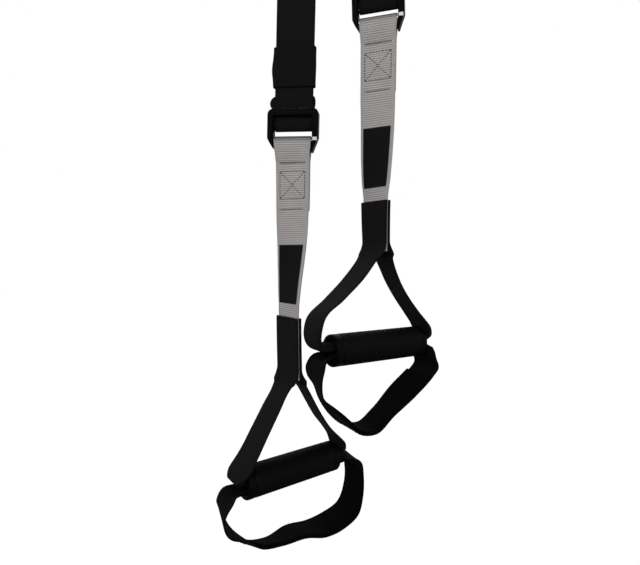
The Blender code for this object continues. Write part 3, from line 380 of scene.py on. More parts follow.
def satin_finish():
    """Woven satin of the bare label: very fine warp with a soft sheen and a raised border line."""
    cloth = Finish("label_satin", 0.5, level=0.03)
    across, along, _, where = cloth.lay()
    warp = cloth.wave(across / 0.0004)
    weft = cloth.wave(along / 0.0006 + across / 0.0016)
    height = warp * 0.5 + weft * 0.5 + cloth.noise(where, 900, 2.0) * 0.2
    amount = 0.70 + height * 0.25 + cloth.noise(where, 90, 3.0) * 0.2
    return cloth.finish(colour=cloth.shade((0.0042, 0.0041, 0.0041), amount),
                        rough=0.42 + warp * 0.2, height=height, depth=0.00008)


def pad_finish():
    """Brushed padding cloth: short fibres, pilled a little, darker than the webbing."""
    cloth = Finish("pad_fabric", 0.95, level=0.02)
    across, along, _, where = cloth.lay()
    fibres = cloth.noise(where, 2200, 4.0, 0.7)
    pills = cloth.step(cloth.noise(where, 650, 2.0), 0.60, 0.72)
    knit = cloth.wave(across / 0.0009) * cloth.wave(along / 0.0009)
    height = fibres * 0.5 + pills * 0.4 + knit * 0.4
    amount = 0.55 + fibres * 0.5 + pills * 0.25
    return cloth.finish(colour=cloth.shade((0.0020, 0.0020, 0.0020), amount), height=height,
                        depth=0.00022)


def thread_finish(name, colour):
    """Sewing thread: a twist round each stitch."""
    yarn = Finish(name, 0.7, level=0.1)
    across, along, _, where = yarn.lay()
    twist = yarn.wave(along / 0.0005 + across)
    return yarn.finish(colour=yarn.shade(colour, 0.7 + twist * 0.4 + yarn.noise(where, 500) * 0.2),
                       height=twist, depth=0.00006)


def rubber_finish():
    """Moulded rubber: dull, finely pitted, with a little dust, and painted shade that makes the
    grooves of its pattern darker than the tops.
    """
    rubber = Finish("grip_rubber", 0.6, level=0.035)
    _, _, raised, _ = rubber.lay()
    pits = rubber.noise(rubber.place(), 1400, 3.0, 0.6)
    dust = rubber.step(rubber.noise(rubber.place(), 210, 4.0, 0.65), 0.48, 0.75)
    # Painted shade: the colour is darker in the grooves than on the tops.
    amount = 0.25 + raised * 0.85 + dust * 0.8 + pits * 0.25
    return rubber.finish(colour=rubber.shade((0.0019, 0.0019, 0.0019), amount),
                         rough=0.50 + dust * 0.2 + pits * 0.15, height=pits, depth=0.00012)


def plastic_finish(name, colour, rough):
    """Injection-moulded plastic: a fine spark-eroded grain and faint scuffs."""
    plastic = Finish(name, rough, level=0.03)
    grain = plastic.noise(plastic.place(), 1800, 3.0, 0.6)
    scuffs = plastic.step(plastic.noise(plastic.place((1, 1, 6)), 130, 4.0, 0.7), 0.55, 0.8)
    return plastic.finish(colour=plastic.shade(colour, 0.85 + grain * 0.3 + scuffs * 0.5),
                          rough=rough + grain * 0.12 + scuffs * 0.18, height=grain, depth=0.00006)


def paint_finish(worn):
    """Black stove paint on steel: a slight orange peel, and bare metal where edges have worn."""
    paint = Finish("ring_paint" if worn else "buckle_paint", 0.35, level=0.012)
    peel = paint.noise(paint.place(), 900, 2.0)
    wear_and_painted_shade = paint.noise(paint.place(), 380, 4.0, 0.7)
    if worn:
        rubbed_edge, _, raised, _ = paint.lay()
        bare = paint.step(raised + rubbed_edge * 0.24 + wear_and_painted_shade * 0.55, 1.50, 1.54)
    else:
        bare = paint.step(wear_and_painted_shade, 0.72, 0.76)
    colour = paint.mix(bare, (0.0012, 0.0012, 0.0012, 1), (0.42, 0.42, 0.43, 1))
    return paint.finish(colour=colour, rough=0.30 + peel * 0.12 + wear_and_painted_shade * 0.10,
                        metal=bare * 0.95, height=peel, depth=0.00005)


def steel_finish(name, colour, rough, streaks):
    """Polished steel: fine streaks along one axis, small scratches and a cloudy polish."""
    steel = Finish(name, rough, metallic=1.0)
    lines = steel.noise(steel.place(streaks), 900, 3.0, 0.6)
    cloudy = steel.noise(steel.place(), 130, 3.0)
    scratches = steel.step(steel.noise(steel.place((1, 1, 14)), 420, 2.0), 0.66, 0.72)
    return steel.finish(colour=steel.shade(colour, 0.86 + lines * 0.14 + cloudy * 0.12),
                        rough=rough + lines * 0.10 + cloudy * 0.08 + scratches * 0.15,
                        height=lines * 0.5 + scratches, depth=0.00003)


FINISH = {
    "black_webbing": webbing_finish("black_webbing", BLACK_POLYESTER, BLACK_WIDTH / 2),
    # The foot straps' webbing is the black webbing made darker, with a lower specular level:
    # painted shade for the shade the foot loops hang in.
    "foot_webbing_painted_shade": webbing_finish("foot_webbing_painted_shade", (0.0025, 0.0025, 0.0025), BLACK_WIDTH / 2,
                                   level=0.03),
    "anchor_webbing": webbing_finish("anchor_webbing", BLACK_POLYESTER, NARROW_WEB_WIDTH / 2),
    # The grey webbing gets a band of painted shade where it turns over the slide ring's lower bar.
    "grey_webbing": webbing_finish("grey_webbing", GREY_POLYESTER, GREY_WIDTH / 2,
                                   contrast=1.15, level=0.12, wear_and_painted_shade=0.0795),
    "tab_webbing": webbing_finish("tab_webbing", GREY_POLYESTER, NARROW_WEB_WIDTH / 2,
                                  contrast=1.15, level=0.12),
    "elastic": elastic_finish(),
    "satin": satin_finish(),
    "pad": pad_finish(),
    "black_thread": thread_finish("black_thread", (0.009, 0.009, 0.009)),
    "grey_thread": thread_finish("grey_thread", (0.060, 0.056, 0.054)),
    "rubber": rubber_finish(),
    "cap_plastic": plastic_finish("cap_plastic", (0.0014, 0.0014, 0.0014), 0.40),
    "tube_plastic": plastic_finish("tube_plastic", (0.004, 0.004, 0.004), 0.5),
    "ring_paint": paint_finish(True),
    "buckle_paint": paint_finish(False),
    "steel": steel_finish("steel", (0.62, 0.62, 0.64), 0.18, (1, 12, 12)),
    "brushed_steel": steel_finish("brushed_steel", (0.36, 0.36, 0.37), 0.50, (1, 12, 12)),
    "rod_steel": steel_finish("rod_steel", (0.60, 0.60, 0.62), 0.22, (9, 9, 1)),
    "dark_steel": steel_finish("dark_steel", (0.006, 0.006, 0.006), 0.30, (9, 9, 1)),
}


# Places of the moving parts, as 4 x 4 arrays

def shift(x, y, z):
    """A move."""
    made = np.eye(4)
    made[:3, 3] = (x, y, z)
    return made


def turn_about_z(angle):
    """A turn about Z."""
    made = np.eye(4)
    made[:2, :2] = ((cos(angle), -sin(angle)), (sin(angle), cos(angle)))
    return made


def leg_place(side):
    """The leg's frame: -Z runs from the anchor ring's bar to the slide ring."""
    step = -LEG_SPACING / 2 if side == "left" else LEG_SPACING / 2
    height = -CARABINER_INNER_HEIGHT - CARABINER_ROD / 2 - ANCHOR_STRAP_LENGTH - DELTA_HEIGHT
    top = np.array((step * cos(ANCHOR_TURN), step * sin(ANCHOR_TURN), height))
    low = np.array((RING_SPREAD[side], 0, height - LEG_DROP[side]))
    up = (top - low) / np.linalg.norm(top - low)
    across = np.cross((0, 1, 0), up)
    across /= np.linalg.norm(across)
    made = np.eye(4)
    made[:3, :3] = np.column_stack((across, np.cross(up, across), up))
    made[:3, 3] = top
    return made @ turn_about_z(LEG_TURN[side])


PLY = WEB_THICK / 2
SECOND = WEB_THICK + GAP
PLY_APART = SECOND / 2
DELTA_BEND = DELTA_ROD / 2 + GAP + PLY
STRAP_SEAT = SLIDE_TOP - SLIDE_TOP_BAR * 0.45
RING_FRONT = -PLY - RUNNING_GAP - SLIDE_TOP_BAR_DEPTH
RING_SEAT = RING_FRONT + SLIDE_DEPTH / 2
SIDES = ("left", "right")
ANCHOR = turn_about_z(ANCHOR_TURN)
LEG = {side: leg_place(side) for side in SIDES}
SLIDE = {side: LEG[side] @ shift(0, -DELTA_BEND, -LEG_DROP[side]) for side in SIDES}
RISE = {side: STRAP_RUN - LEG_DROP[side] for side in SIDES}
BUCKLE = {side: SLIDE[side] @ shift(0, 0, RISE[side]) for side in SIDES}
KEEPER = {side: SLIDE[side] @ shift(0, 0, KEEPER_DROP) for side in SIDES}
LOWER = {side: shift(*(SLIDE[side] @ (0, RING_SEAT, -SLIDE_BOTTOM_DROP, 1))[:3]) for side in SIDES}
BAR_SLOPE = {side: SLIDE[side][2, 0] for side in SIDES}
GRIP_LEVEL = {side: SLIDE_BOTTOM_DROP - GRIP_DROP - TRIM[side] for side in SIDES}


def put(points, place):
    """Points moved by a 4 x 4 place."""
    return points @ place[:3, :3].T + place[:3, 3]


def ease(value):
    """0 below 0, 1 above 1, and a smooth step between."""
    value = np.clip(value, 0, 1)
    return value * value * (3 - 2 * value)


def on_bar(points, turn, slope):
    """Turn points about Z, and tilt their width with a bar that isn't quite level."""
    x, y = points[..., 0], points[..., 1]
    return np.stack([x * np.cos(turn) - y * np.sin(turn), x * np.sin(turn) + y * np.cos(turn),
                     points[..., 2] + x * slope], axis=-1)


def hang(side):
    """How points of the lower strap hang: turned by their drop, bowed, put at the ring's bar."""
    def placed(points):
        drop = SLIDE_BOTTOM_DROP - points[..., 2]
        turn = np.radians(np.interp(drop, *TURN[side]))
        level = 1 - ease((drop - SLIDE_BOTTOM_DROP - SLIDE_BOTTOM_BAR) / GREY_SEWN_END)
        made = on_bar(points, turn, BAR_SLOPE[side] * level)
        bow, low_bow = BOW[side]
        below = drop > HANDLE_TOP
        made[..., 0] += ((bow - low_bow * below) * np.exp(-((drop - HANDLE_TOP) / BOW_REACH) ** 2)
                         + low_bow * below)
        return put(made, LOWER[side])
    return placed


# Surfaces

def together(*parts):
    """Arrays of x, y and z as one array of points."""
    return np.stack(np.broadcast_arrays(*parts), axis=-1)


def round_the_clock(count):
    """Evenly spaced angles of a whole turn."""
    return np.linspace(0, 2 * pi, count, endpoint=False)


def surface(name, points, finish, lay=None, loop=False, smooth=40):
    """A mesh from blocks of rows of points, each row closed on itself.

    points is blocks x rows x columns x 3 or rows x columns x 3. loop joins the last row to the
    first, and points that meet are merged, so a row that shrinks to a line or a point closes the
    end.
    """
    points = np.asarray(points, float)
    if points.ndim == 3:
        points = points[None]
    index = np.arange(points.size // 3).reshape(points.shape[:3])
    on = np.roll(index, -1, axis=1)
    corners = np.stack([index, np.roll(index, -1, axis=2), np.roll(on, -1, axis=2), on], axis=-1)
    faces = (corners if loop else corners[:, :-1]).reshape(-1, 4)
    mesh = bpy.data.meshes.new(name)
    mesh.vertices.add(points.size // 3)
    mesh.vertices.foreach_set("co", points.ravel())
    mesh.loops.add(faces.size)
    mesh.loops.foreach_set("vertex_index", faces.ravel())
    mesh.polygons.add(len(faces))
    mesh.polygons.foreach_set("loop_start", np.arange(0, faces.size, 4))
    mesh.update(calc_edges=True)
    if lay is not None:
        carried = mesh.attributes.new("lay", "FLOAT_VECTOR", "POINT")
        carried.data.foreach_set("vector", np.broadcast_to(lay, points.shape).ravel())
    form = bmesh.new()
    form.from_mesh(mesh)
    bmesh.ops.remove_doubles(form, verts=form.verts, dist=1e-7)
    bmesh.ops.dissolve_degenerate(form, edges=form.edges, dist=1e-7)
    bmesh.ops.recalc_face_normals(form, faces=form.faces)
    form.to_mesh(mesh)
    form.free()
    mesh.shade_smooth()
    mesh.set_sharp_from_angle(angle=radians(smooth))
    mesh.materials.append(FINISH[finish])
    piece = bpy.data.objects.new(name, mesh)
    bpy.context.scene.collection.objects.link(piece)
    return piece


def arc(centre, radius, start, end, steps):
    """Points of an arc; angles run from the first axis towards the second."""
    angles = np.radians(np.linspace(start, end, steps + 1))
    return np.column_stack([centre[0] + radius * np.cos(angles),
                            centre[1] + radius * np.sin(angles)])


def run_of(route):
    """How far along a route each of its points is."""
    return np.concatenate(([0], np.cumsum(np.linalg.norm(np.diff(route, axis=0), axis=1))))


def rows_at(distance, run, rows):
    """Rows at any distances, in straight lines between the given rows."""
    return np.stack([np.interp(distance, run, column) for column in rows.T], axis=-1)


def smooth_route(points, spacing):
    """Rows on a smooth curve through the given rows, evenly spaced along their first two columns.

    Each stretch is a cubic that leaves and enters with the slopes that its neighbours give.
    """
    rows = np.array(points, float)
    at = run_of(rows[:, :2])
    slope = np.gradient(rows, at, axis=0)
    fine = np.linspace(0, at[-1], 40 * len(rows))
    k = np.clip(np.searchsorted(at, fine, side="right") - 1, 0, len(rows) - 2)
    step = (at[k + 1] - at[k])[:, None]
    t = (fine - at[k])[:, None] / step
    curve = ((2 * t**3 - 3 * t**2 + 1) * rows[k] + (t**3 - 2 * t**2 + t) * step * slope[k]
             + (3 * t**2 - 2 * t**3) * rows[k + 1] + (t**3 - t**2) * step * slope[k + 1])
    run = run_of(curve[:, :2])
    return rows_at(np.linspace(0, run[-1], max(int(round(run[-1] / spacing)), 2) + 1), run, curve)


class Strap:
    """Webbing along a route in its own YZ plane, its width along X, then placed in the model.

    point() answers for any distance along, distance across and height off the middle layer, so
    that the surface and the stitches on it come from the same formula.
    """

    def __init__(self, route, half_width, thick, placed, turn=0.0, curl=0.0, lift=0.0):
        route = np.asarray(route, float)[:, :2]
        self.run = run_of(route)
        along = np.gradient(route, axis=0)
        along /= np.linalg.norm(along, axis=1)[:, None]
        none = np.zeros(len(route))
        face = np.column_stack([none, -along[:, 1], along[:, 0]])
        side = np.column_stack([none + 1, none, none])
        lean = (none + turn)[:, None]
        self.frames = np.column_stack([
            none, route, side * np.cos(lean) + face * np.sin(lean),
            face * np.cos(lean) - side * np.sin(lean), none + half_width, none + thick,
            none + curl])
        self.lift = lift
        self.placed = placed

    def at(self, along):
        """The centre, side, face, and sizes (half width, thickness, curl) at distances along."""
        found = rows_at(along, self.run, self.frames)
        return found[..., 0:3], found[..., 3:6], found[..., 6:9], found[..., 9:]

    def point(self, along, share, height):
        """Points at a distance along, a share of the half width across, and a height in metres."""
        along, share, height = np.broadcast_arrays(along, share, height)
        centre, side, face, sizes = self.at(along)
        bend = np.where(np.abs(sizes[..., 2]) < 1e-3, 1e-3, sizes[..., 2])
        s = share * sizes[..., 0]
        out = np.sin(bend * s) / bend
        rise = (1 - np.cos(bend * s)) / bend + self.lift
        normal = -np.sin(bend * s)[..., None] * side + np.cos(bend * s)[..., None] * face
        return self.placed(centre + out[..., None] * side + rise[..., None] * face
                           + height[..., None] * normal)


def webbing(name, strap, finish, spacing=0.0022, columns=13, shape=None):
    """The strap's surface: a flat section with round edges, its ends rounded and closed.

    shape(along, share, top) gives the height of the top or bottom face as a share of half the
    thickness; without it the face is level and falls as a quarter ellipse at each edge. The
    section's second half is the first one turned by half a turn.
    """
    length = strap.run[-1]
    rows = max(int(round(length / spacing)), 4)
    closing = np.array((0.0, 0.55, 0.86))
    reach = WEB_THICK * 0.3 * np.array((0.0, 0.15, 0.5))
    along = np.concatenate([reach, np.linspace(0, length, rows + 1)[1:-1],
                            length - reach[::-1]])[:, None]
    thin = np.concatenate([closing, np.ones(rows - 1), closing[::-1]])[:, None]
    edge = 0.035
    turn = np.linspace(0, pi / 2, 5)[1:-1]
    side, fall = 1 - edge + edge * np.sin(turn), np.cos(turn)
    share = np.concatenate([np.linspace(-1, 1, columns) * (1 - edge), side, [1], side[::-1]])
    level = np.concatenate([np.ones(columns), fall, [0], -fall[::-1]])
    share, level = np.concatenate([share, -share]), np.concatenate([level, -level])
    sizes = strap.at(along)[3]
    height = level * sizes[..., 1] / 2 * thin
    if shape is not None:
        height = height * shape(along, share, level > 0)
    lay = together(share * sizes[..., 0], along, level)
    return surface(name, strap.point(along, share, height), finish, lay)


def seam(strap, path, pitch=STITCH_PITCH, share=0.78, top=True, seed=1):
    """Starts, ends and outward directions of stitches along a path of (along, across) corners."""
    path = np.asarray(path, float)
    run = run_of(path)
    draw = np.random.default_rng(seed)
    begins, finishes = [], []
    for k, leg in enumerate(np.linalg.norm(np.diff(path, axis=0), axis=1)):
        count = max(int(round(leg / pitch)), 1)
        begin = run[k] + np.arange(count) * leg / count
        begins.append(begin + leg / count * (1 - share) / 2)
        finishes.append(begin + leg / count * (1 + share) / 2)
    ends = []
    for spot in (np.concatenate(begins), np.concatenate(finishes)):
        along, across = (np.interp(spot, run, path[:, k]) + draw.normal(0, STITCH_WANDER, len(spot))
                         for k in (0, 1))
        sizes = strap.at(along)[3]
        height = (1 if top else -1) * sizes[:, 1] / 2
        ends.append([strap.point(along, across / sizes[:, 0], height * up) for up in (1, 2)])
    out = (ends[0][1] - ends[0][0]) + (ends[1][1] - ends[1][0])
    out /= np.linalg.norm(out, axis=1)[:, None]
    return ends[0][0], ends[1][0], out


def tack(strap, at, half, **more):
    """One row of close stitches straight across."""
    return seam(strap, [(at, -half), (at, half)], pitch=TACK_PITCH, **more)


def box_path(low, high, half):
    """A sewn box between two distances along, with its diagonals, in one line."""
    return [(low, -half), (low, half), (high, half), (high, -half), (low, -half), (high, half),
            (low, half), (high, -half)]


def sewn(name, finish, seams, body, radius=THREAD_RADIUS):
    """All the stitches of one strap as one piece: short bulging lengths of thread.

    Each runs from a start to an end along a straight line raised by a sine, and its radius
    shrinks to nothing at both ends, where the thread goes into the cloth.
    """
    starts, ends, outs = (np.concatenate(part)[:, None, :] for part in zip(*seams))
    t = np.linspace(0, 1, 5)[None, :, None]
    direction = ends - starts
    side = np.cross(direction, outs)
    side /= np.linalg.norm(side, axis=-1, keepdims=True)
    centre = starts + direction * t + outs * (radius * (0.9 * np.sin(pi * t) - 0.35))
    turn = round_the_clock(6)[:, None]
    ring = np.cos(turn) * side[:, :, None, :] + np.sin(turn) * outs[:, :, None, :]
    points = centre[:, :, None, :] + ring * (radius * np.sin(pi * t) ** 0.5)[..., None]
    lay = together(turn.T / (2 * pi), t * np.linalg.norm(direction, axis=-1, keepdims=True), 0.0)
    piece = surface(name, points, finish, lay, smooth=80)
    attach(piece, body)


def turned(name, profile, place, finish):
    """A closed outline of (radius, along) turned about Y, then placed."""
    radius, along = np.transpose(profile)
    angle = round_the_clock(72)[:, None]
    points = together(radius * np.cos(angle), along, radius * np.sin(angle))
    return surface(name, place(points), finish, loop=True, smooth=50)


def bar_piece(name, body, node, centre, radius, half, place):
    """A round steel bar along X with chamfered ends: rings of a radius at distances along it."""
    chamfer = 0.0005
    along, ring = np.transpose([
        (-half, 0), (-half, radius - chamfer), (-half + chamfer, radius),
        (half - chamfer, radius), (half, radius - chamfer), (half, 0)])[:, :, None]
    angle = round_the_clock(40)
    points = together(along, centre[0] + ring * np.cos(angle), centre[1] + ring * np.sin(angle))
    piece = surface(name, put(points, place), "steel")
    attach(piece, body)
    if node:
        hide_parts(node)


def bent_rod(name, route, radius, place, finish):
    """A round rod along a closed route in the XZ plane, its section square to the route."""
    along = np.roll(route, -1, axis=0) - np.roll(route, 1, axis=0)
    along /= np.linalg.norm(along, axis=1)[:, None]
    angle = round_the_clock(20)
    out = radius * np.cos(angle)
    points = together(route[:, :1] + out * along[:, 1:], radius * np.sin(angle),
                      route[:, 1:] - out * along[:, :1])
    return surface(name, put(points, place), finish, loop=True)


def softened(node, body, finish, width):
    """A copy of a solid with its edges rounded, for a pressed or cast metal piece."""
    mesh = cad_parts[node].data.copy()
    form = bmesh.new()
    form.from_mesh(mesh)
    bmesh.ops.remove_doubles(form, verts=form.verts, dist=2e-6)
    bmesh.ops.dissolve_limit(form, angle_limit=radians(2), verts=form.verts, edges=form.edges)
    form.to_mesh(mesh)
    form.free()
    mesh.materials.clear()
    mesh.materials.append(FINISH[finish])
    piece = bpy.data.objects.new(node + "_dressed", mesh)
    bpy.context.scene.collection.objects.link(piece)
    edges = piece.modifiers.new("edges", "BEVEL")
    edges.width = width
    edges.segments = 2
    edges.limit_method = "ANGLE"
    edges.angle_limit = radians(35)
    edges.harden_normals = True
    mesh.shade_smooth()
    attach(piece, body)
    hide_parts(node)
    return piece


def dress(node, finish):
    """Give a solid that stays its finish."""
    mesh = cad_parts[node].data
    mesh.materials.clear()
    mesh.materials.append(FINISH[finish])


# Camera, floor and light

def make_camera(scene):
    """The camera, about as high as the left label's upper edge and looking slightly down."""
    lens = bpy.data.cameras.new("camera")
    lens.lens = LENS
    lens.sensor_width = 36
    lens.clip_start = 0.01
    camera = bpy.data.objects.new("camera", lens)
    camera.location = CAMERA_PLACE
    camera.rotation_euler = (radians(90 - CAMERA_DOWN), 0, 0)
    scene.collection.objects.link(camera)
    scene.camera = camera


def make_studio():
    """Camera at the photograph's angle, a pale floor, and plain soft light."""
    scene = bpy.context.scene
    scene.view_settings.view_transform = "Standard"
    make_camera(scene)

    scene.world = bpy.data.worlds.new("studio")
    scene.world.use_nodes = True
    sky = Nodes(scene.world.node_tree)
    shown = sky.tree.nodes["Background"]
    shown.inputs["Color"].default_value = (1, 1, 1, 1)
    rays = [sky.add("ShaderNodeLightPath", output=kind)
            for kind in ("Is Camera Ray", "Is Transmission Ray", "Is Glossy Ray")]
    white = sky.maths("MAXIMUM", sky.maths("MAXIMUM", rays[0], rays[1]), rays[2])
    sky.feed(shown, "Strength", sky.add("ShaderNodeMapRange", None,
                                        {"Value": white, "To Min": SKY_LIGHT, "To Max": 1.0}))

    floor_mesh = bpy.data.meshes.new("floor")
    corners = ((-1, -1), (1, -1), (1, 1), (-1, 1))
    floor_mesh.from_pydata([(FLOOR_REACH * x, FLOOR_REACH * y, FLOOR_LEVEL) for x, y in corners],
                           [], [(0, 1, 2, 3)])
    pale = Finish("floor", 0.9)
    pale.feed(pale.shader, "Base Color", (0.42, 0.42, 0.42, 1))
    glow = pale.add("ShaderNodeEmission", None, {"Strength": FLOOR_GLOW})
    share = pale.add("ShaderNodeLightPath", output="Is Camera Ray") * FLOOR_GLOW_SHARE
    both = pale.add("ShaderNodeMixShader", None,
                    {0: share, 1: Value(pale, pale.shader.outputs[0]), 2: glow})
    pale.feed(pale.tree.nodes["Material Output"], "Surface", both)
    floor_mesh.materials.append(pale.material)
    floor = bpy.data.objects.new("floor", floor_mesh)
    scene.collection.objects.link(floor)

    for name, spot, aim, size, power in (
            ("key", (-0.9, -1.9, 0.0), (0, 0, -0.9), 1.4, 31),
            ("fill", (1.5, -1.4, -0.8), (0, 0, -0.9), 1.4, 6),
            ("top", (0.1, 0.3, 1.2), (0, 0, -0.6), 1.0, 6),
            ("back", (0.6, 1.9, -0.4), (0, 0, -0.8), 1.4, 2)):
        lamp = bpy.data.lights.new(name, "AREA")
        lamp.size = size
        lamp.energy = power
        holder = bpy.data.objects.new(name, lamp)
        holder.location = spot
        x, y, z = np.array(aim, float) - np.array(spot)
        holder.rotation_euler = (np.arctan2(np.hypot(x, y), -z), 0, np.arctan2(y, x) - pi / 2)
        holder.visible_camera = False
        scene.collection.objects.link(holder)


# Anchor

def make_anchor():
    """The short sewn loop, the four-sided ring, and the carabiner."""
    place = ANCHOR @ shift(0, 0, -CARABINER_INNER_HEIGHT - CARABINER_ROD / 2)
    top_bend = CARABINER_ROD / 2 + GAP + PLY
    length = ANCHOR_STRAP_LENGTH
    low_meet, top_meet = -length + DELTA_BEND * 2.6, -top_bend * 2.6
    middle = (low_meet + top_meet) / 2
    route = smooth_route(np.vstack([
        np.linspace((-PLY_APART, middle), (-PLY_APART, low_meet), 8),
        arc((0, -length), DELTA_BEND, 145, 395, 12),
        np.linspace((PLY_APART, low_meet), (PLY_APART, top_meet), 14),
        arc((0, 0), top_bend, -35, 215, 12),
        np.linspace((-PLY_APART, top_meet), (-PLY_APART, middle + 0.0006), 8)]), 0.0015)
    strap = Strap(route, NARROW_WEB_WIDTH / 2, WEB_THICK, lambda points: put(points, place))
    piece = webbing("anchor_loop", strap, "anchor_webbing", spacing=0.0015)
    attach(piece, "anchor_strap")
    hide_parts("anchor_strap")
    front = np.flatnonzero((route[:, 0] > 0) & (np.abs(route[:, 1] - middle) < 0.004))
    seat = strap.run[front].mean()
    half = (top_meet - low_meet) / 2 - 0.002
    sewn("anchor_stitches", "black_thread",
         [seam(strap, box_path(seat - half, seat + half, 0.0085), top=False, seed=3),
          seam(strap, box_path(0.0015, half, 0.0085), top=False, seed=4)],
         "anchor_strap")

    right = [(DELTA_TOP_HALF, 0), (DELTA_BOTTOM_HALF, -DELTA_HEIGHT + DELTA_CORNER * 1.4),
             (DELTA_BOTTOM_HALF, -DELTA_HEIGHT)]
    corners = right + [(-x, z) for x, z in reversed(right)]
    piece = bent_rod("ring_rod", filleted(corners, DELTA_CORNER / 2, 10), DELTA_ROD / 2,
                     place @ shift(0, 0, -length), "steel")
    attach(piece, "anchor_ring")
    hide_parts("anchor_ring")
    softened("carabiner_body", "carabiner", "rod_steel", 0.0004)
    softened("carabiner_gate", "gate", "rod_steel", 0.0003)
    dress("carabiner_gate_pin", "steel")
    dress("carabiner_gate_spring", "steel")


def filleted(corners, radius, steps):
    """A closed outline whose corners are arcs of one radius, tangent to both sides."""
    made = []
    count = len(corners)
    for i in range(count):
        at = np.array(corners[i], float)
        back = np.array(corners[i - 1], float) - at
        on = np.array(corners[(i + 1) % count], float) - at
        back /= np.linalg.norm(back)
        on /= np.linalg.norm(on)
        half = np.arccos(np.clip(back @ on, -1, 1)) / 2
        bisector = (back + on) / np.linalg.norm(back + on)
        middle = at + bisector * radius / sin(half)
        start = at + back * radius / np.tan(half) - middle
        end = at + on * radius / np.tan(half) - middle
        first = np.arctan2(start[1], start[0])
        sweep = (np.arctan2(end[1], end[0]) - first + pi) % (2 * pi) - pi
        angles = first + sweep * np.linspace(0, 1, steps + 1)
        made.append(np.column_stack([middle[0] + radius * np.cos(angles),
                                     middle[1] + radius * np.sin(angles)]))
    return np.vstack(made)


# Legs

def make_leg_strap(side):
    """The long ply, sewn round the anchor ring's bar at the top and stretched by the slide."""
    bend = DELTA_BEND
    leg = LEG[side]
    top = smooth_route([(SECOND - bend, -LOOP_SEWN), (SECOND - bend, -2.4 * bend),
                        *arc((0, 0), bend, -20, 180, 8),
                        (-bend, -0.4 * bend), (-bend, -2.4 * bend)], 0.0022)
    drop = LEG_DROP[side] - STRAP_SEAT
    rows = np.vstack([top, np.linspace((-bend, -LOOP_SEWN * 1.2), (-bend, -drop), 60)])
    bar = leg[:3, :3].T @ np.array((cos(ANCHOR_TURN), sin(ANCHOR_TURN), 0))

    def placed(points):
        settle = 1 - ease((-points[..., 2] - bend * 2) / LOOP_SEWN)
        return put(on_bar(points, settle * np.arctan2(bar[1], bar[0]), settle * bar[2]), leg)

    strap = Strap(rows, BLACK_WIDTH / 2, WEB_THICK, placed)
    piece = webbing("long_ply_" + side, strap, "black_webbing", spacing=0.004)
    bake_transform(piece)
    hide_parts("leg_strap_" + side)
    level = rows[:, 0] == -bend
    front = np.interp(LOOP_SEWN, -rows[level, 1], strap.run[level])
    sewn("top_stitches_" + side, "black_thread",
         [seam(strap, box_path(0.002, 0.028, 0.013), top=False, seed=11),
          tack(strap, 0.033, 0.017, top=False, seed=12),
          seam(strap, box_path(front - 0.028, front - 0.002, 0.013), top=False, seed=13),
          tack(strap, front - 0.033, 0.017, top=False, seed=14)], "leg_" + side)


def make_return_strap(side):
    """The ply that turns round the middle bar and runs up to the buckle's bar."""
    place = SLIDE[side]
    bend = SLIDE_MIDDLE_BAR / 2 + GAP + PLY
    top_bend = BUCKLE_BAR / 2 + GAP + PLY
    start = STRAP_SEAT - GAP
    bar = RISE[side] - BUCKLE_BAR_DROP
    low = smooth_route([(0, start), (0, start * 0.5), *arc((bend, 0), bend, 180, 360, 8),
                        (SECOND + 0.003, 0.012), (SECOND, 0.024), (SECOND, 0.034)], 0.0015)
    high = smooth_route([(SECOND, bar - 0.012), (SECOND, bar - 0.004),
                         *arc((SECOND + top_bend, bar), top_bend, 180, 0, 8),
                         (SECOND + top_bend * 1.5, bar - 0.007), (2 * SECOND, bar - 0.014),
                         (2 * SECOND, bar - LOOP_SEWN)], 0.0022)
    between = np.linspace((SECOND, 0.040), (SECOND, bar - 0.018), 50)
    strap = Strap(np.vstack([low, between, high]), BLACK_WIDTH / 2, WEB_THICK,
                  lambda points: put(points, place))
    piece = webbing("return_ply_" + side, strap, "black_webbing", spacing=0.003)
    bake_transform(piece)
    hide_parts("return_strap_" + side)
    length = strap.run[-1]
    sewn("buckle_stitches_" + side, "black_thread",
         [seam(strap, box_path(length - 0.026, length - 0.003, 0.013), seed=21),
          tack(strap, length - 0.030, 0.017, seed=22)], "buckle_" + side)
    make_slack_fold(side)


def make_slack_fold(side):
    """The slack of the return ply above the ring, bulging at both edges.

    Its half width is the webbing's and a half ellipse, which falls away towards its top and bottom.
    """
    level = np.linspace(-1, 1, 41) * FOLD_REACH
    lobe = np.sqrt(np.clip(1 - (level / FOLD_REACH) ** 2, 0, 1))
    rows = np.column_stack([np.full(41, SECOND), FOLD_LEVEL + level])

    def placed(points):
        slack = np.clip(1 - ((points[..., 2] - FOLD_LEVEL) / (FOLD_REACH * 1.13)) ** 2, 0, 1)
        return put(points - slack[..., None] * np.array((0.0016, 0, 0)), SLIDE[side])

    strap = Strap(rows, BLACK_WIDTH / 2 - 0.0006 + 0.0047 * lobe, WEB_THICK * 0.9, placed)
    piece = webbing("slack_fold_" + side, strap, "black_webbing", spacing=0.0007)
    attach(piece, "slide_" + side)
    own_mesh(piece)


def rounded(half_x, half_y, radius, steps):
    """A rounded oblong as corner arcs, and the outward direction at each of its points.

    Arrays of half sizes give an oblong for each of their values, all with as many points.
    """
    angles = np.radians(np.concatenate([np.linspace(q * 90, q * 90 + 90, steps) for q in range(4)]))
    out = np.column_stack([np.cos(angles), np.sin(angles)])
    corner = np.repeat(((1, 1), (-1, 1), (-1, -1), (1, -1)), steps, axis=0)
    half = np.stack([half_x, half_y], axis=-1)[..., None, :]
    r = np.minimum(radius, half.min(axis=-1, keepdims=True) * 0.95)
    return corner * (half - r) + out * r, out


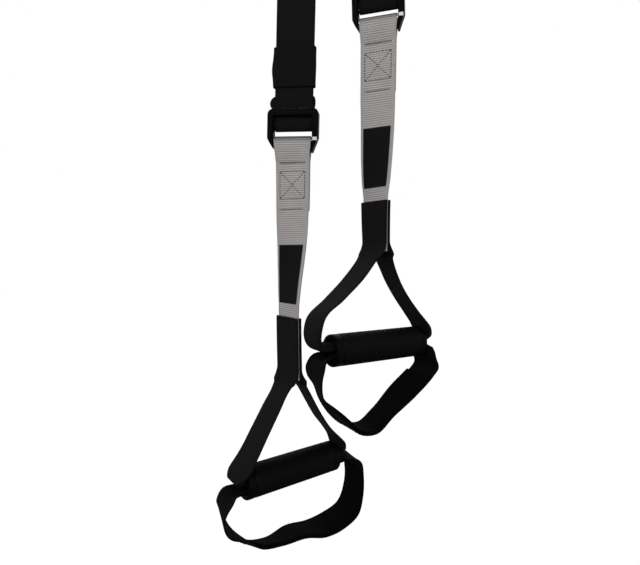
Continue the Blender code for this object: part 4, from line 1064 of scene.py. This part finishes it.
def make_keeper(side):
    """The elastic sleeve: a rounded oblong section carried up, its wall turned in at both ends.

    The wall is a closed loop of (distance out, height) round which the section swells, with a
    slack bulge at one side where the elastic has stretched.
    """
    low, high = -PLY - KEEPER_EASE, SECOND + PLY + KEEPER_EASE
    half_x = BLACK_WIDTH / 2 + KEEPER_SIDE_EASE
    outline, out = (np.vstack([part, part[:1]])
                    for part in rounded(half_x, (high - low) / 2, 0.0012, 6))
    run = run_of(outline)
    even = np.union1d(run[:-1], np.arange(0, run[-1], 0.0015))
    outline, out = rows_at(even, run, outline), rows_at(even, run, out)
    wall, tall, rim = KEEPER_WALL, KEEPER_HEIGHT, 0.0009
    height = np.linspace(rim, tall - rim, 26)
    top = np.array((wall / 2, tall - rim)) + arc((0, 0), 1, 0, 180, 6)[1:-1] * (wall / 2, rim)
    profile = np.vstack([np.column_stack([np.full(26, wall), height]), top,
                         np.column_stack([np.zeros(26), height[::-1]]),
                         top[::-1] * (1, -1) + (0, tall)])
    distance, level = profile[:, :1], profile[:, 1:]
    bulge = 0.0016 * np.exp(-((level / tall - 0.42) / 0.28) ** 2) * (outline[:, 0] < 0)
    bulge = bulge * np.abs(outline[:, 0]) / half_x
    ripple = 0.00010 * np.sin(level / tall * 9 + outline[:, 0] * 160)
    spread = distance + (bulge + ripple) * (np.abs(out[:, 0]) > 0.4)
    points = together(outline[:, 0] + out[:, 0] * spread,
                      outline[:, 1] + out[:, 1] * (distance + ripple * 0.5) + (low + high) / 2,
                      level)
    piece = surface("elastic_keeper_" + side, put(points, KEEPER[side]), "elastic",
                    together(even, level, 0.0), loop=True)
    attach(piece, "keeper_" + side)
    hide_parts("keeper_" + side)


def ring_edge(half, top, corner, tip):
    """Half an edge of the slide ring: along the top bar, round its corner, down and in to a tip."""
    slant = -SLIDE_BOTTOM_DROP + 0.0030
    return np.vstack([
        np.linspace((0, top), (half - corner, top), 14)[:-1],
        arc((half - corner, top - corner), corner, 90, 0, 12),
        np.linspace((half, top - corner), (half, slant), 17)[1:],
        np.linspace((half, slant), tip, 7)[1:]])


def make_slide_ring(side):
    """The cast frame: a section carried from one ear's tip, over the top bar, to the other's.

    Each station joins a point of the window's edge to one of the outer edge. The section between
    them is a rounded oblong that is shallow at the top bar and deep at the sides. Below the
    lower bar the ears are drawn up at one side and down at the other.
    """
    place = SLIDE[side]
    half, window = SLIDE_WIDTH / 2 - 0.0002, SLIDE_WINDOW / 2 - 0.0004
    top = SLIDE_TOP - 0.0008
    inner = ring_edge(window, top - SLIDE_TOP_BAR, 0.0014, EAR_TIPS[0])
    outer = ring_edge(half, top, SLIDE_CORNER, EAR_TIPS[1])
    deep = ease(np.concatenate([np.zeros(11), np.linspace(0, 1, 6), np.ones(len(inner) - 17)]))
    depth = SLIDE_TOP_BAR_DEPTH + (SLIDE_DEPTH - SLIDE_TOP_BAR_DEPTH) * deep
    inner, outer = (np.vstack([edge[:0:-1] * (-1, 1), edge]) for edge in (inner, outer))
    depth = np.concatenate([depth[:0:-1], depth])
    width = np.linalg.norm(outer - inner, axis=1)
    section, _ = rounded(width / 2, depth / 2, 0.0011, 5)
    flat = (((inner + outer) / 2)[:, None]
            + ((outer - inner) / width[:, None])[:, None] * section[..., :1])
    points = together(flat[..., 0], (RING_FRONT + depth / 2)[:, None] + section[..., 1],
                      flat[..., 1])
    ends = points[[0, -1]].mean(axis=1, keepdims=True) + 0 * points[[0, -1]]
    points = np.concatenate([ends[:1], points, ends[1:]])
    lay = np.zeros(points.shape)
    lay[..., 2] = np.tile(np.sin(np.linspace(0, pi, 5)), 4)
    lay[..., 0] = (points[..., 2] > top - 0.0012) & (points[..., 1] < RING_FRONT + 0.0014)
    below = points[..., 2] + SLIDE_BOTTOM_DROP
    points[..., 2] += np.where(below < 0, below * np.where(points[..., 0] < 0, -0.32, 0.10), 0)
    piece = surface("slide_frame_" + side, put(points, place), "ring_paint", lay, smooth=45)
    cut_slot(piece, place)
    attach(piece, "slide_" + side)
    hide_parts("slide_ring_" + side)
    bar_piece("middle_bar_" + side, "slide_" + side, None,
              (PLY + GAP + SLIDE_MIDDLE_BAR / 2, 0), SLIDE_MIDDLE_BAR / 2, window + 0.001, place)
    bar_piece("lower_bar_" + side, "slide_" + side, "slide_ring_bar_" + side,
              (RING_SEAT, -SLIDE_BOTTOM_DROP), SLIDE_BOTTOM_BAR / 2, half - 0.0026, place)
    flat, _ = rounded(0.0024, 0.0018, 0.0004, 4)
    reach = np.array((0, 0, 0.0003, 0.0036, 0.0036))[:, None]
    share = np.array((0, 0.92, 1, 1, 0))[:, None]
    tongue = together(sum(EAR_SLOT) / 2 + flat[:, 0] * share, RING_FRONT + 0.0004 + reach,
                      -SLIDE_BOTTOM_DROP + 0.0015 + flat[:, 1] * share)
    piece = surface("bar_tongue_" + side, put(tongue, place), "brushed_steel", smooth=30)
    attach(piece, "slide_" + side)


def cut_slot(piece, place):
    """Cut the slot in one ear, where the lower bar's flat end shows."""
    corners = [(x, y, z) for x in EAR_SLOT for y in (RING_FRONT - 0.001, RING_SEAT)
               for z in (-SLIDE_BOTTOM_DROP - 0.0005, -SLIDE_BOTTOM_DROP + 0.0036)]
    faces = [(0, 1, 3, 2), (4, 6, 7, 5), (0, 4, 5, 1), (2, 3, 7, 6), (0, 2, 6, 4), (1, 5, 7, 3)]
    mesh = bpy.data.meshes.new("slot")
    mesh.from_pydata([tuple(corner) for corner in put(np.array(corners), place)], [], faces)
    tool = bpy.data.objects.new("slot", mesh)
    bpy.context.scene.collection.objects.link(tool)
    cut = piece.modifiers.new("slot", "BOOLEAN")
    cut.operation = "DIFFERENCE"
    cut.object = tool
    bpy.context.view_layer.update()
    made = bpy.data.meshes.new_from_object(
        piece.evaluated_get(bpy.context.evaluated_depsgraph_get()))
    piece.modifiers.remove(cut)
    piece.data = made
    bpy.data.objects.remove(tool)


def make_cam(side):
    """The toothed lever, with its lower teeth drawn in so that they clear the webbing as it opens.

    The radius about the pin is cut by the share by which a tooth's tip at that angle stands past
    the first tooth's.
    """
    piece = softened("cam_lever_" + side, "cam_" + side, "buckle_paint", 0.0003)
    pivot = BUCKLE[side] @ shift(0, -CAM_PIN_FORWARD, CAM_PIN_RISE)
    points = np.empty(len(piece.data.vertices) * 3)
    piece.data.vertices.foreach_get("co", points)
    points = put(points.reshape(-1, 3), np.linalg.inv(pivot))
    radius = np.hypot(points[:, 1], points[:, 2])
    below = np.arctan2(-points[:, 2], points[:, 1])
    tips = np.array(CAM_TIPS)
    reach = np.interp(below, np.arctan2(tips[:, 1], tips[:, 0]), np.hypot(tips[:, 0], tips[:, 1]))
    toothed = (points[:, 1] > 0.002) & (points[:, 2] < 0) & (radius > 0.006)
    points[:, 1:] *= np.where(toothed, tips[0, 0] / reach, 1)[:, None]
    piece.data.vertices.foreach_set("co", put(points, pivot).ravel())
    piece.data.update()


def make_buckle(side):
    """The cam buckle's pressed and cast parts, its bars, and the folded pull tab."""
    softened("buckle_frame_" + side, "buckle_" + side, "buckle_paint", 0.0004)
    make_cam(side)
    bar_piece("strap_bar_" + side, "buckle_" + side, "buckle_bar_" + side,
              (SECOND + BUCKLE_BAR / 2 + GAP + PLY, -BUCKLE_BAR_DROP), BUCKLE_BAR / 2,
              BUCKLE_WIDTH / 2 + 0.0006, BUCKLE[side])
    dress("cam_pin_" + side, "steel")
    dress("cam_spring_" + side, "steel")
    back = 2 * SECOND + PLY + GAP + PLY
    front = back + SECOND
    top = -BUCKLE_BAR_DROP - 0.022
    low = top - TAB_LENGTH
    fold = 0.0035
    rows = np.vstack([
        [(back, top), (back, top - 0.018)],
        smooth_route([(back, top - 0.019), (back + 0.001, low + 0.012),
                      *arc((back + fold, low), fold, 180, 360, 6),
                      (back + fold, low + 0.016), (front, top - 0.022)], 0.004),
        [(front, top - 0.018), (front, top - 0.004)]])
    strap = Strap(rows, NARROW_WEB_WIDTH / 2, WEB_THICK, lambda points: put(points, BUCKLE[side]))
    piece = webbing("folded_tab_" + side, strap, "tab_webbing", spacing=0.002)
    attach(piece, "buckle_" + side)
    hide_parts("pull_tab_" + side)
    length = strap.run[-1]
    sewn("tab_stitches_" + side, "grey_thread",
         [seam(strap, box_path(length - 0.012, length - 0.002, 0.009), top=False, seed=31)],
         "buckle_" + side)


# Lower strap, handle and foot loop

def zigzag(at, swing, low, high, count):
    """Corners to both sides of a line across the strap."""
    return [(at + (swing if k % 2 else -swing), x)
            for k, x in enumerate(np.linspace(low, high, count))]


def make_grey_strap(side):
    """The light webbing: looped over the bar, sewn back with a crossed box, and run to the fork."""
    bend = SLIDE_BOTTOM_BAR / 2 + GAP + PLY
    level = SLIDE_BOTTOM_DROP
    sewn_top, sewn_end = level - GREY_SEWN_TOP, level - GREY_SEWN_END
    loop = smooth_route([(PLY_APART, sewn_top), (PLY_APART + 0.0018, -0.0135), (bend, -0.004),
                         *arc((0, 0), bend, 0, 180, 8),
                         (-bend, -0.004), (-PLY_APART - 0.0018, -0.0135), (-PLY_APART, sewn_top)],
                        0.0015)
    back = np.linspace((PLY_APART, sewn_end), (PLY_APART, sewn_top), 12)
    front = np.linspace((-PLY_APART, sewn_top), (-PLY_APART, sewn_end), 12)
    tail = smooth_route([(-PLY_APART, sewn_end - 0.004), (0, level - LABEL_TOP),
                         (0, level - LABEL_TOP - 0.008), (0, level - HANDLE_TOP),
                         (0, level - GREY_END - TRIM[side])], 0.004)
    route = np.vstack([back[:-1], loop, front[1:], tail])
    spread = 0.0009 * np.exp(-(route[:, 1] / 0.010) ** 2)
    strap = Strap(route, GREY_WIDTH / 2 + spread, WEB_THICK, hang(side))
    piece = webbing("light_strap_" + side, strap, "grey_webbing", spacing=0.0018)
    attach(piece, "handle_" + side)
    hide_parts("grey_strap_" + side)
    box_top, box_end, half = 0.0457, 0.0734, 0.0136
    start = (GREY_SEWN_END - GREY_SEWN_TOP) + run_of(loop)[-1]
    boxes = [(start + (box_top - GREY_SEWN_TOP), start + (box_end - GREY_SEWN_TOP)),
             (GREY_SEWN_END - box_end, GREY_SEWN_END - box_top)]
    end = start + (GREY_SEWN_END - GREY_SEWN_TOP) - 0.0022
    sewn("light_stitches_" + side, "grey_thread",
         [seam(strap, box_path(*box, half), top=False, share=0.86, seed=seed)
          for box, seed in zip(boxes, (41, 44))],
         "handle_" + side, radius=0.00042)
    sewn("light_tacks_" + side, "grey_thread",
         [seam(strap, path, pitch=0.004, share=0.9, top=False, seed=seed)
          for path, seed in ((zigzag(start + 0.0008, 0.0018, -0.0140, 0.0140, 27), 42),
                             (zigzag(end, 0.0012, -0.0130, 0.0125, 25), 43))],
         "handle_" + side, radius=0.00027)
    make_label(side)


def make_label(side):
    """The bare satin label: a thin patch with closed ends and a line of fine stitches."""
    level, out = SLIDE_BOTTOM_DROP - LABEL_TOP, -PLY - GAP - LABEL_THICK / 2
    rows = np.linspace((out, level), (out, level - LABEL_LENGTH), 30)
    strap = Strap(rows, LABEL_WIDTH / 2, LABEL_THICK, hang(side))
    piece = webbing("bare_label_" + side, strap, "satin", spacing=0.0015, columns=11)
    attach(piece, "handle_" + side)
    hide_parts("label_" + side)
    inset = 0.0017
    half, far = LABEL_WIDTH / 2 - inset, LABEL_LENGTH - inset
    border = [(inset, -half), (inset, half), (far, half), (far, -half), (inset, -half)]
    sewn("label_stitches_" + side, "black_thread",
         [seam(strap, border, pitch=0.0020, top=False, seed=51)], "handle_" + side,
         radius=0.00020)


def gathered_rows(rows, tube_height, spacing):
    """A smooth route whose height settles to the tube's where the strap is gathered."""
    route = smooth_route(rows, spacing)
    gather = np.clip(route[:, 2], 0, 1)
    route[:, 1] = route[:, 1] * (1 - ease(gather)) + tube_height * ease(gather)
    return route, gather


def make_handle_strap(side):
    """The black strap: front ply, fork, through the grip, and back up as the rear ply."""
    half = GRIP_LENGTH / 2
    fork = GRIP_DROP - FORK_DROP
    top = GRIP_DROP + TRIM[side] - HANDLE_TOP
    rows = [(u * half, v * fork, gather, turn) for u, v, gather, turn in HANDLE_ROUTE[side]]
    ends = [(x, fork + above, 0, 0) for x in (-SECOND, SECOND) for above in (0.014, 0.006)]
    bore_seat = ((BORE_RADIUS - GAP) ** 2 - GATHERED_HALF_WIDTH ** 2) ** 0.5
    route, gather = gathered_rows(ends[:2] + rows + ends[:1:-1], bore_seat - GATHERED_THICK / 2,
                                  0.0024)
    beside_grey = route[:, 1] > GRIP_DROP - GREY_END - 0.004
    clear = np.sign(route[:, 0]) * np.maximum(np.abs(route[:, 0]), SECOND)
    route[:, 0] = np.where(beside_grey, clear, route[:, 0])
    route[:, 3] = np.where(beside_grey, 0, route[:, 3])
    above = np.linspace((-SECOND, top, 0, 0), (-SECOND, fork + 0.020, 0, 0), 16)
    route = np.vstack([above, route, above[::-1] * (-1, 1, 1, 1)])
    gather = np.concatenate([np.zeros(16), gather, np.zeros(16)])
    half_width = BLACK_WIDTH / 2 * (1 - gather) + GATHERED_HALF_WIDTH * gather
    thick = WEB_THICK * (1 - gather) + GATHERED_THICK * gather
    route[:, 1] += GRIP_LEVEL[side]
    strap = Strap(route, half_width, thick, hang(side), turn=np.radians(route[:, 3]))
    piece = webbing("fork_strap_" + side, strap, "black_webbing", spacing=0.0020, columns=15)
    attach(piece, "handle_" + side)
    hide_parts("handle_strap_" + side)
    length = strap.run[-1]
    high = FORK_DROP - HANDLE_TOP - 0.016
    sewn("fork_stitches_" + side, "black_thread",
         [seam(strap, box_path(0.004, high, 0.0145), top=False, seed=61),
          seam(strap, box_path(length - high, length - 0.004, 0.0145), top=False, seed=62),
          tack(strap, high + 0.006, 0.0150, top=False, seed=63)], "handle_" + side)


def make_foot_loop(side):
    """The foot strap, curled into the grip's ends, and its padded cradle.

    The pad's face is crowned by a cosine of the way across, dips at the sewn line near each edge
    and rises again at the bound edge; along the line it puckers at each stitch.
    """
    half = GRIP_LENGTH / 2
    rows = [(u * half, -v * LOOP_DEPTH, gather, turn) for u, v, gather, turn in FOOT_ROUTE[side]]
    coarse, _ = gathered_rows(rows, -CURLED_RADIUS, 0.0058)
    first, last = (int(part * len(coarse)) / (len(coarse) - 1) for part in PAD_SPAN[side])
    route, gather = gathered_rows(rows, -CURLED_RADIUS, 0.0029)
    half_width = BLACK_WIDTH / 2 * (1 - gather) + CURLED_HALF_WIDTH * gather
    thick = WEB_THICK * (1 - gather) + CURLED_THICK * gather
    turn = np.radians(route[:, 3])
    route[:, 1] += GRIP_LEVEL[side]
    strap = Strap(route, half_width, thick, hang(side), turn, -gather / CURLED_RADIUS)
    # The foot strap's webbing is darker than the rest, as painted shade.
    piece = webbing("foot_band_" + side, strap, "foot_webbing_painted_shade", spacing=0.0024, columns=15)
    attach(piece, "foot_" + side)
    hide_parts("foot_strap_" + side)
    low, high = int(round(first * (len(route) - 1))), int(round(last * (len(route) - 1)))
    span = slice(low, high + 1)
    cradle = Strap(route[span], PAD_WIDTH / 2, PAD_THICK, hang(side), turn[span],
                   lift=(WEB_THICK + PAD_THICK) / 2 + 2 * GAP)
    length = cradle.run[-1]

    def crowned(along, share, top):
        out = np.abs(share)
        crown = 0.62 + 0.50 * np.cos(out * pi / 2) ** 0.7
        dip = 0.34 * np.exp(-((out - 0.84) / 0.045) ** 2)
        dip = dip * (0.8 + 0.2 * np.cos(along * (2 * pi / 0.0042)))
        bead = 0.16 * np.exp(-((out - 0.93) / 0.03) ** 2)
        swell = 0.05 * np.sin(along * 95 + share * 2.2) + 0.04 * np.sin(along * 230 - share * 3)
        finish = np.clip(np.minimum(along, length - along) / 0.006, 0.25, 1) ** 0.5
        return np.where(top, (crown - dip + bead + swell) * finish, 1.0)

    pad = webbing("cradle_pad_" + side, cradle, "pad", spacing=0.0014, columns=31, shape=crowned)
    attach(pad, "foot_" + side)
    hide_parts("foot_pad_" + side)
    run = strap.run
    lines = [[(run[low] + 0.003, x), (run[high] - 0.003, x)] for x in (-0.0172, 0.0172)]
    sewn("foot_stitches_" + side, "black_thread",
         [seam(strap, line, pitch=0.0042, top=False, seed=71 + k) for k, line in enumerate(lines)],
         "foot_" + side)


def make_grip(side):
    """The rubber sleeve with its crossed grooves, the caps, the rings and the tube inside.

    The grooves are where one of two sines, each wound round the sleeve the other way, is near 0.
    """
    half = GRIP_LENGTH / 2
    placed = hang(side)

    def grip_place(points):
        return placed(points + np.array((0, 0, GRIP_LEVEL[side])))

    rubber = half - CAP_LENGTH - GLINT_RING - 2 * GAP
    bore = TUBE_RADIUS + GAP
    along = np.linspace(-rubber, rubber, 221)[:, None]
    angle = round_the_clock(180)[None, :]
    wind = along * pi / (2 * pi * GRIP_RADIUS / KNURL_STARTS) * KNURL_SLANT
    near = [np.abs(np.sin(angle * KNURL_STARTS / 2 + way * wind)) for way in (1, -1)]
    groove = np.minimum(np.minimum(*near) / KNURL_GROOVE, 1) ** 0.8
    inside = ease((rubber - np.abs(along) - 0.0030) / 0.0016)
    rounded_end = np.clip((rubber - np.abs(along)) / GRIP_SHOULDER, 0, 1)
    shoulder = GRIP_SHOULDER / 2 * (1 - np.sqrt(1 - (1 - rounded_end) ** 2))
    radius = GRIP_RADIUS - shoulder - KNURL_DEPTH * (1 - groove) * inside
    points = np.concatenate([together(r * np.cos(angle), y, r * np.sin(angle)) for r, y in
                             ((bore, -rubber), (radius, along), (bore, rubber))])
    lay = np.zeros(points.shape)
    # The lay's third value is 1 on the tops and 0 in the grooves: the rubber's painted shade
    # darkens the grooves with it.
    lay[1:-1, :, 2] = groove * inside + (1 - inside)
    lay[1:-1, :, 1] = along
    sleeve = surface("knurled_sleeve_" + side, grip_place(points), "rubber", lay, loop=True,
                     smooth=60)
    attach(sleeve, "grip_" + side)
    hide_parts("grip_sleeve_" + side)

    rim, shy = GRIP_RADIUS - 0.0006, GRIP_RADIUS - 0.0002
    ring = (np.array([(bore, 0), (bore, 1), (rim, 1), (shy, 0.72), (shy, 0.28), (rim, 0)])
            * (1, GLINT_RING) + (0, rubber + GAP))
    low, seat = half - CAP_LENGTH, half - 0.0030 + GAP
    lip = arc((GRIP_RADIUS - 0.0020, half - 0.0020), 0.0020, 0, 90, 6)
    mouth = [(CAP_MOUTH_RADIUS - (CAP_MOUTH_RADIUS - BORE_RADIUS) * sin(b),
              half - 0.0014 + 0.0014 * cos(b)) for b in np.linspace(0, pi / 2, 7)]
    cap = np.vstack([[(bore, low), (GRIP_RADIUS - 0.0004, low), (GRIP_RADIUS, low + 0.0004)],
                     lip, mouth, [(BORE_RADIUS, seat), (bore, seat)]])
    for end, name in ((-1, "near"), (1, "far")):
        piece = turned(f"dark_ring_{name}_{side}", ring * (1, end), grip_place, "dark_steel")
        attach(piece, "grip_" + side)
        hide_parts(f"grip_ring_{name}_{side}")
        piece = turned(f"flared_cap_{name}_{side}", cap * (1, end), grip_place, "cap_plastic")
        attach(piece, "grip_" + side)
        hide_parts(f"grip_cap_{name}_{side}")
    dress("grip_tube_" + side, "tube_plastic")


def main():
    """Dress the whole trainer."""
    make_studio()
    make_anchor()
    for side in SIDES:
        make_leg_strap(side)
        make_return_strap(side)
        make_keeper(side)
        make_slide_ring(side)
        make_buckle(side)
        make_grey_strap(side)
        make_handle_strap(side)
        make_foot_loop(side)
        make_grip(side)


main()
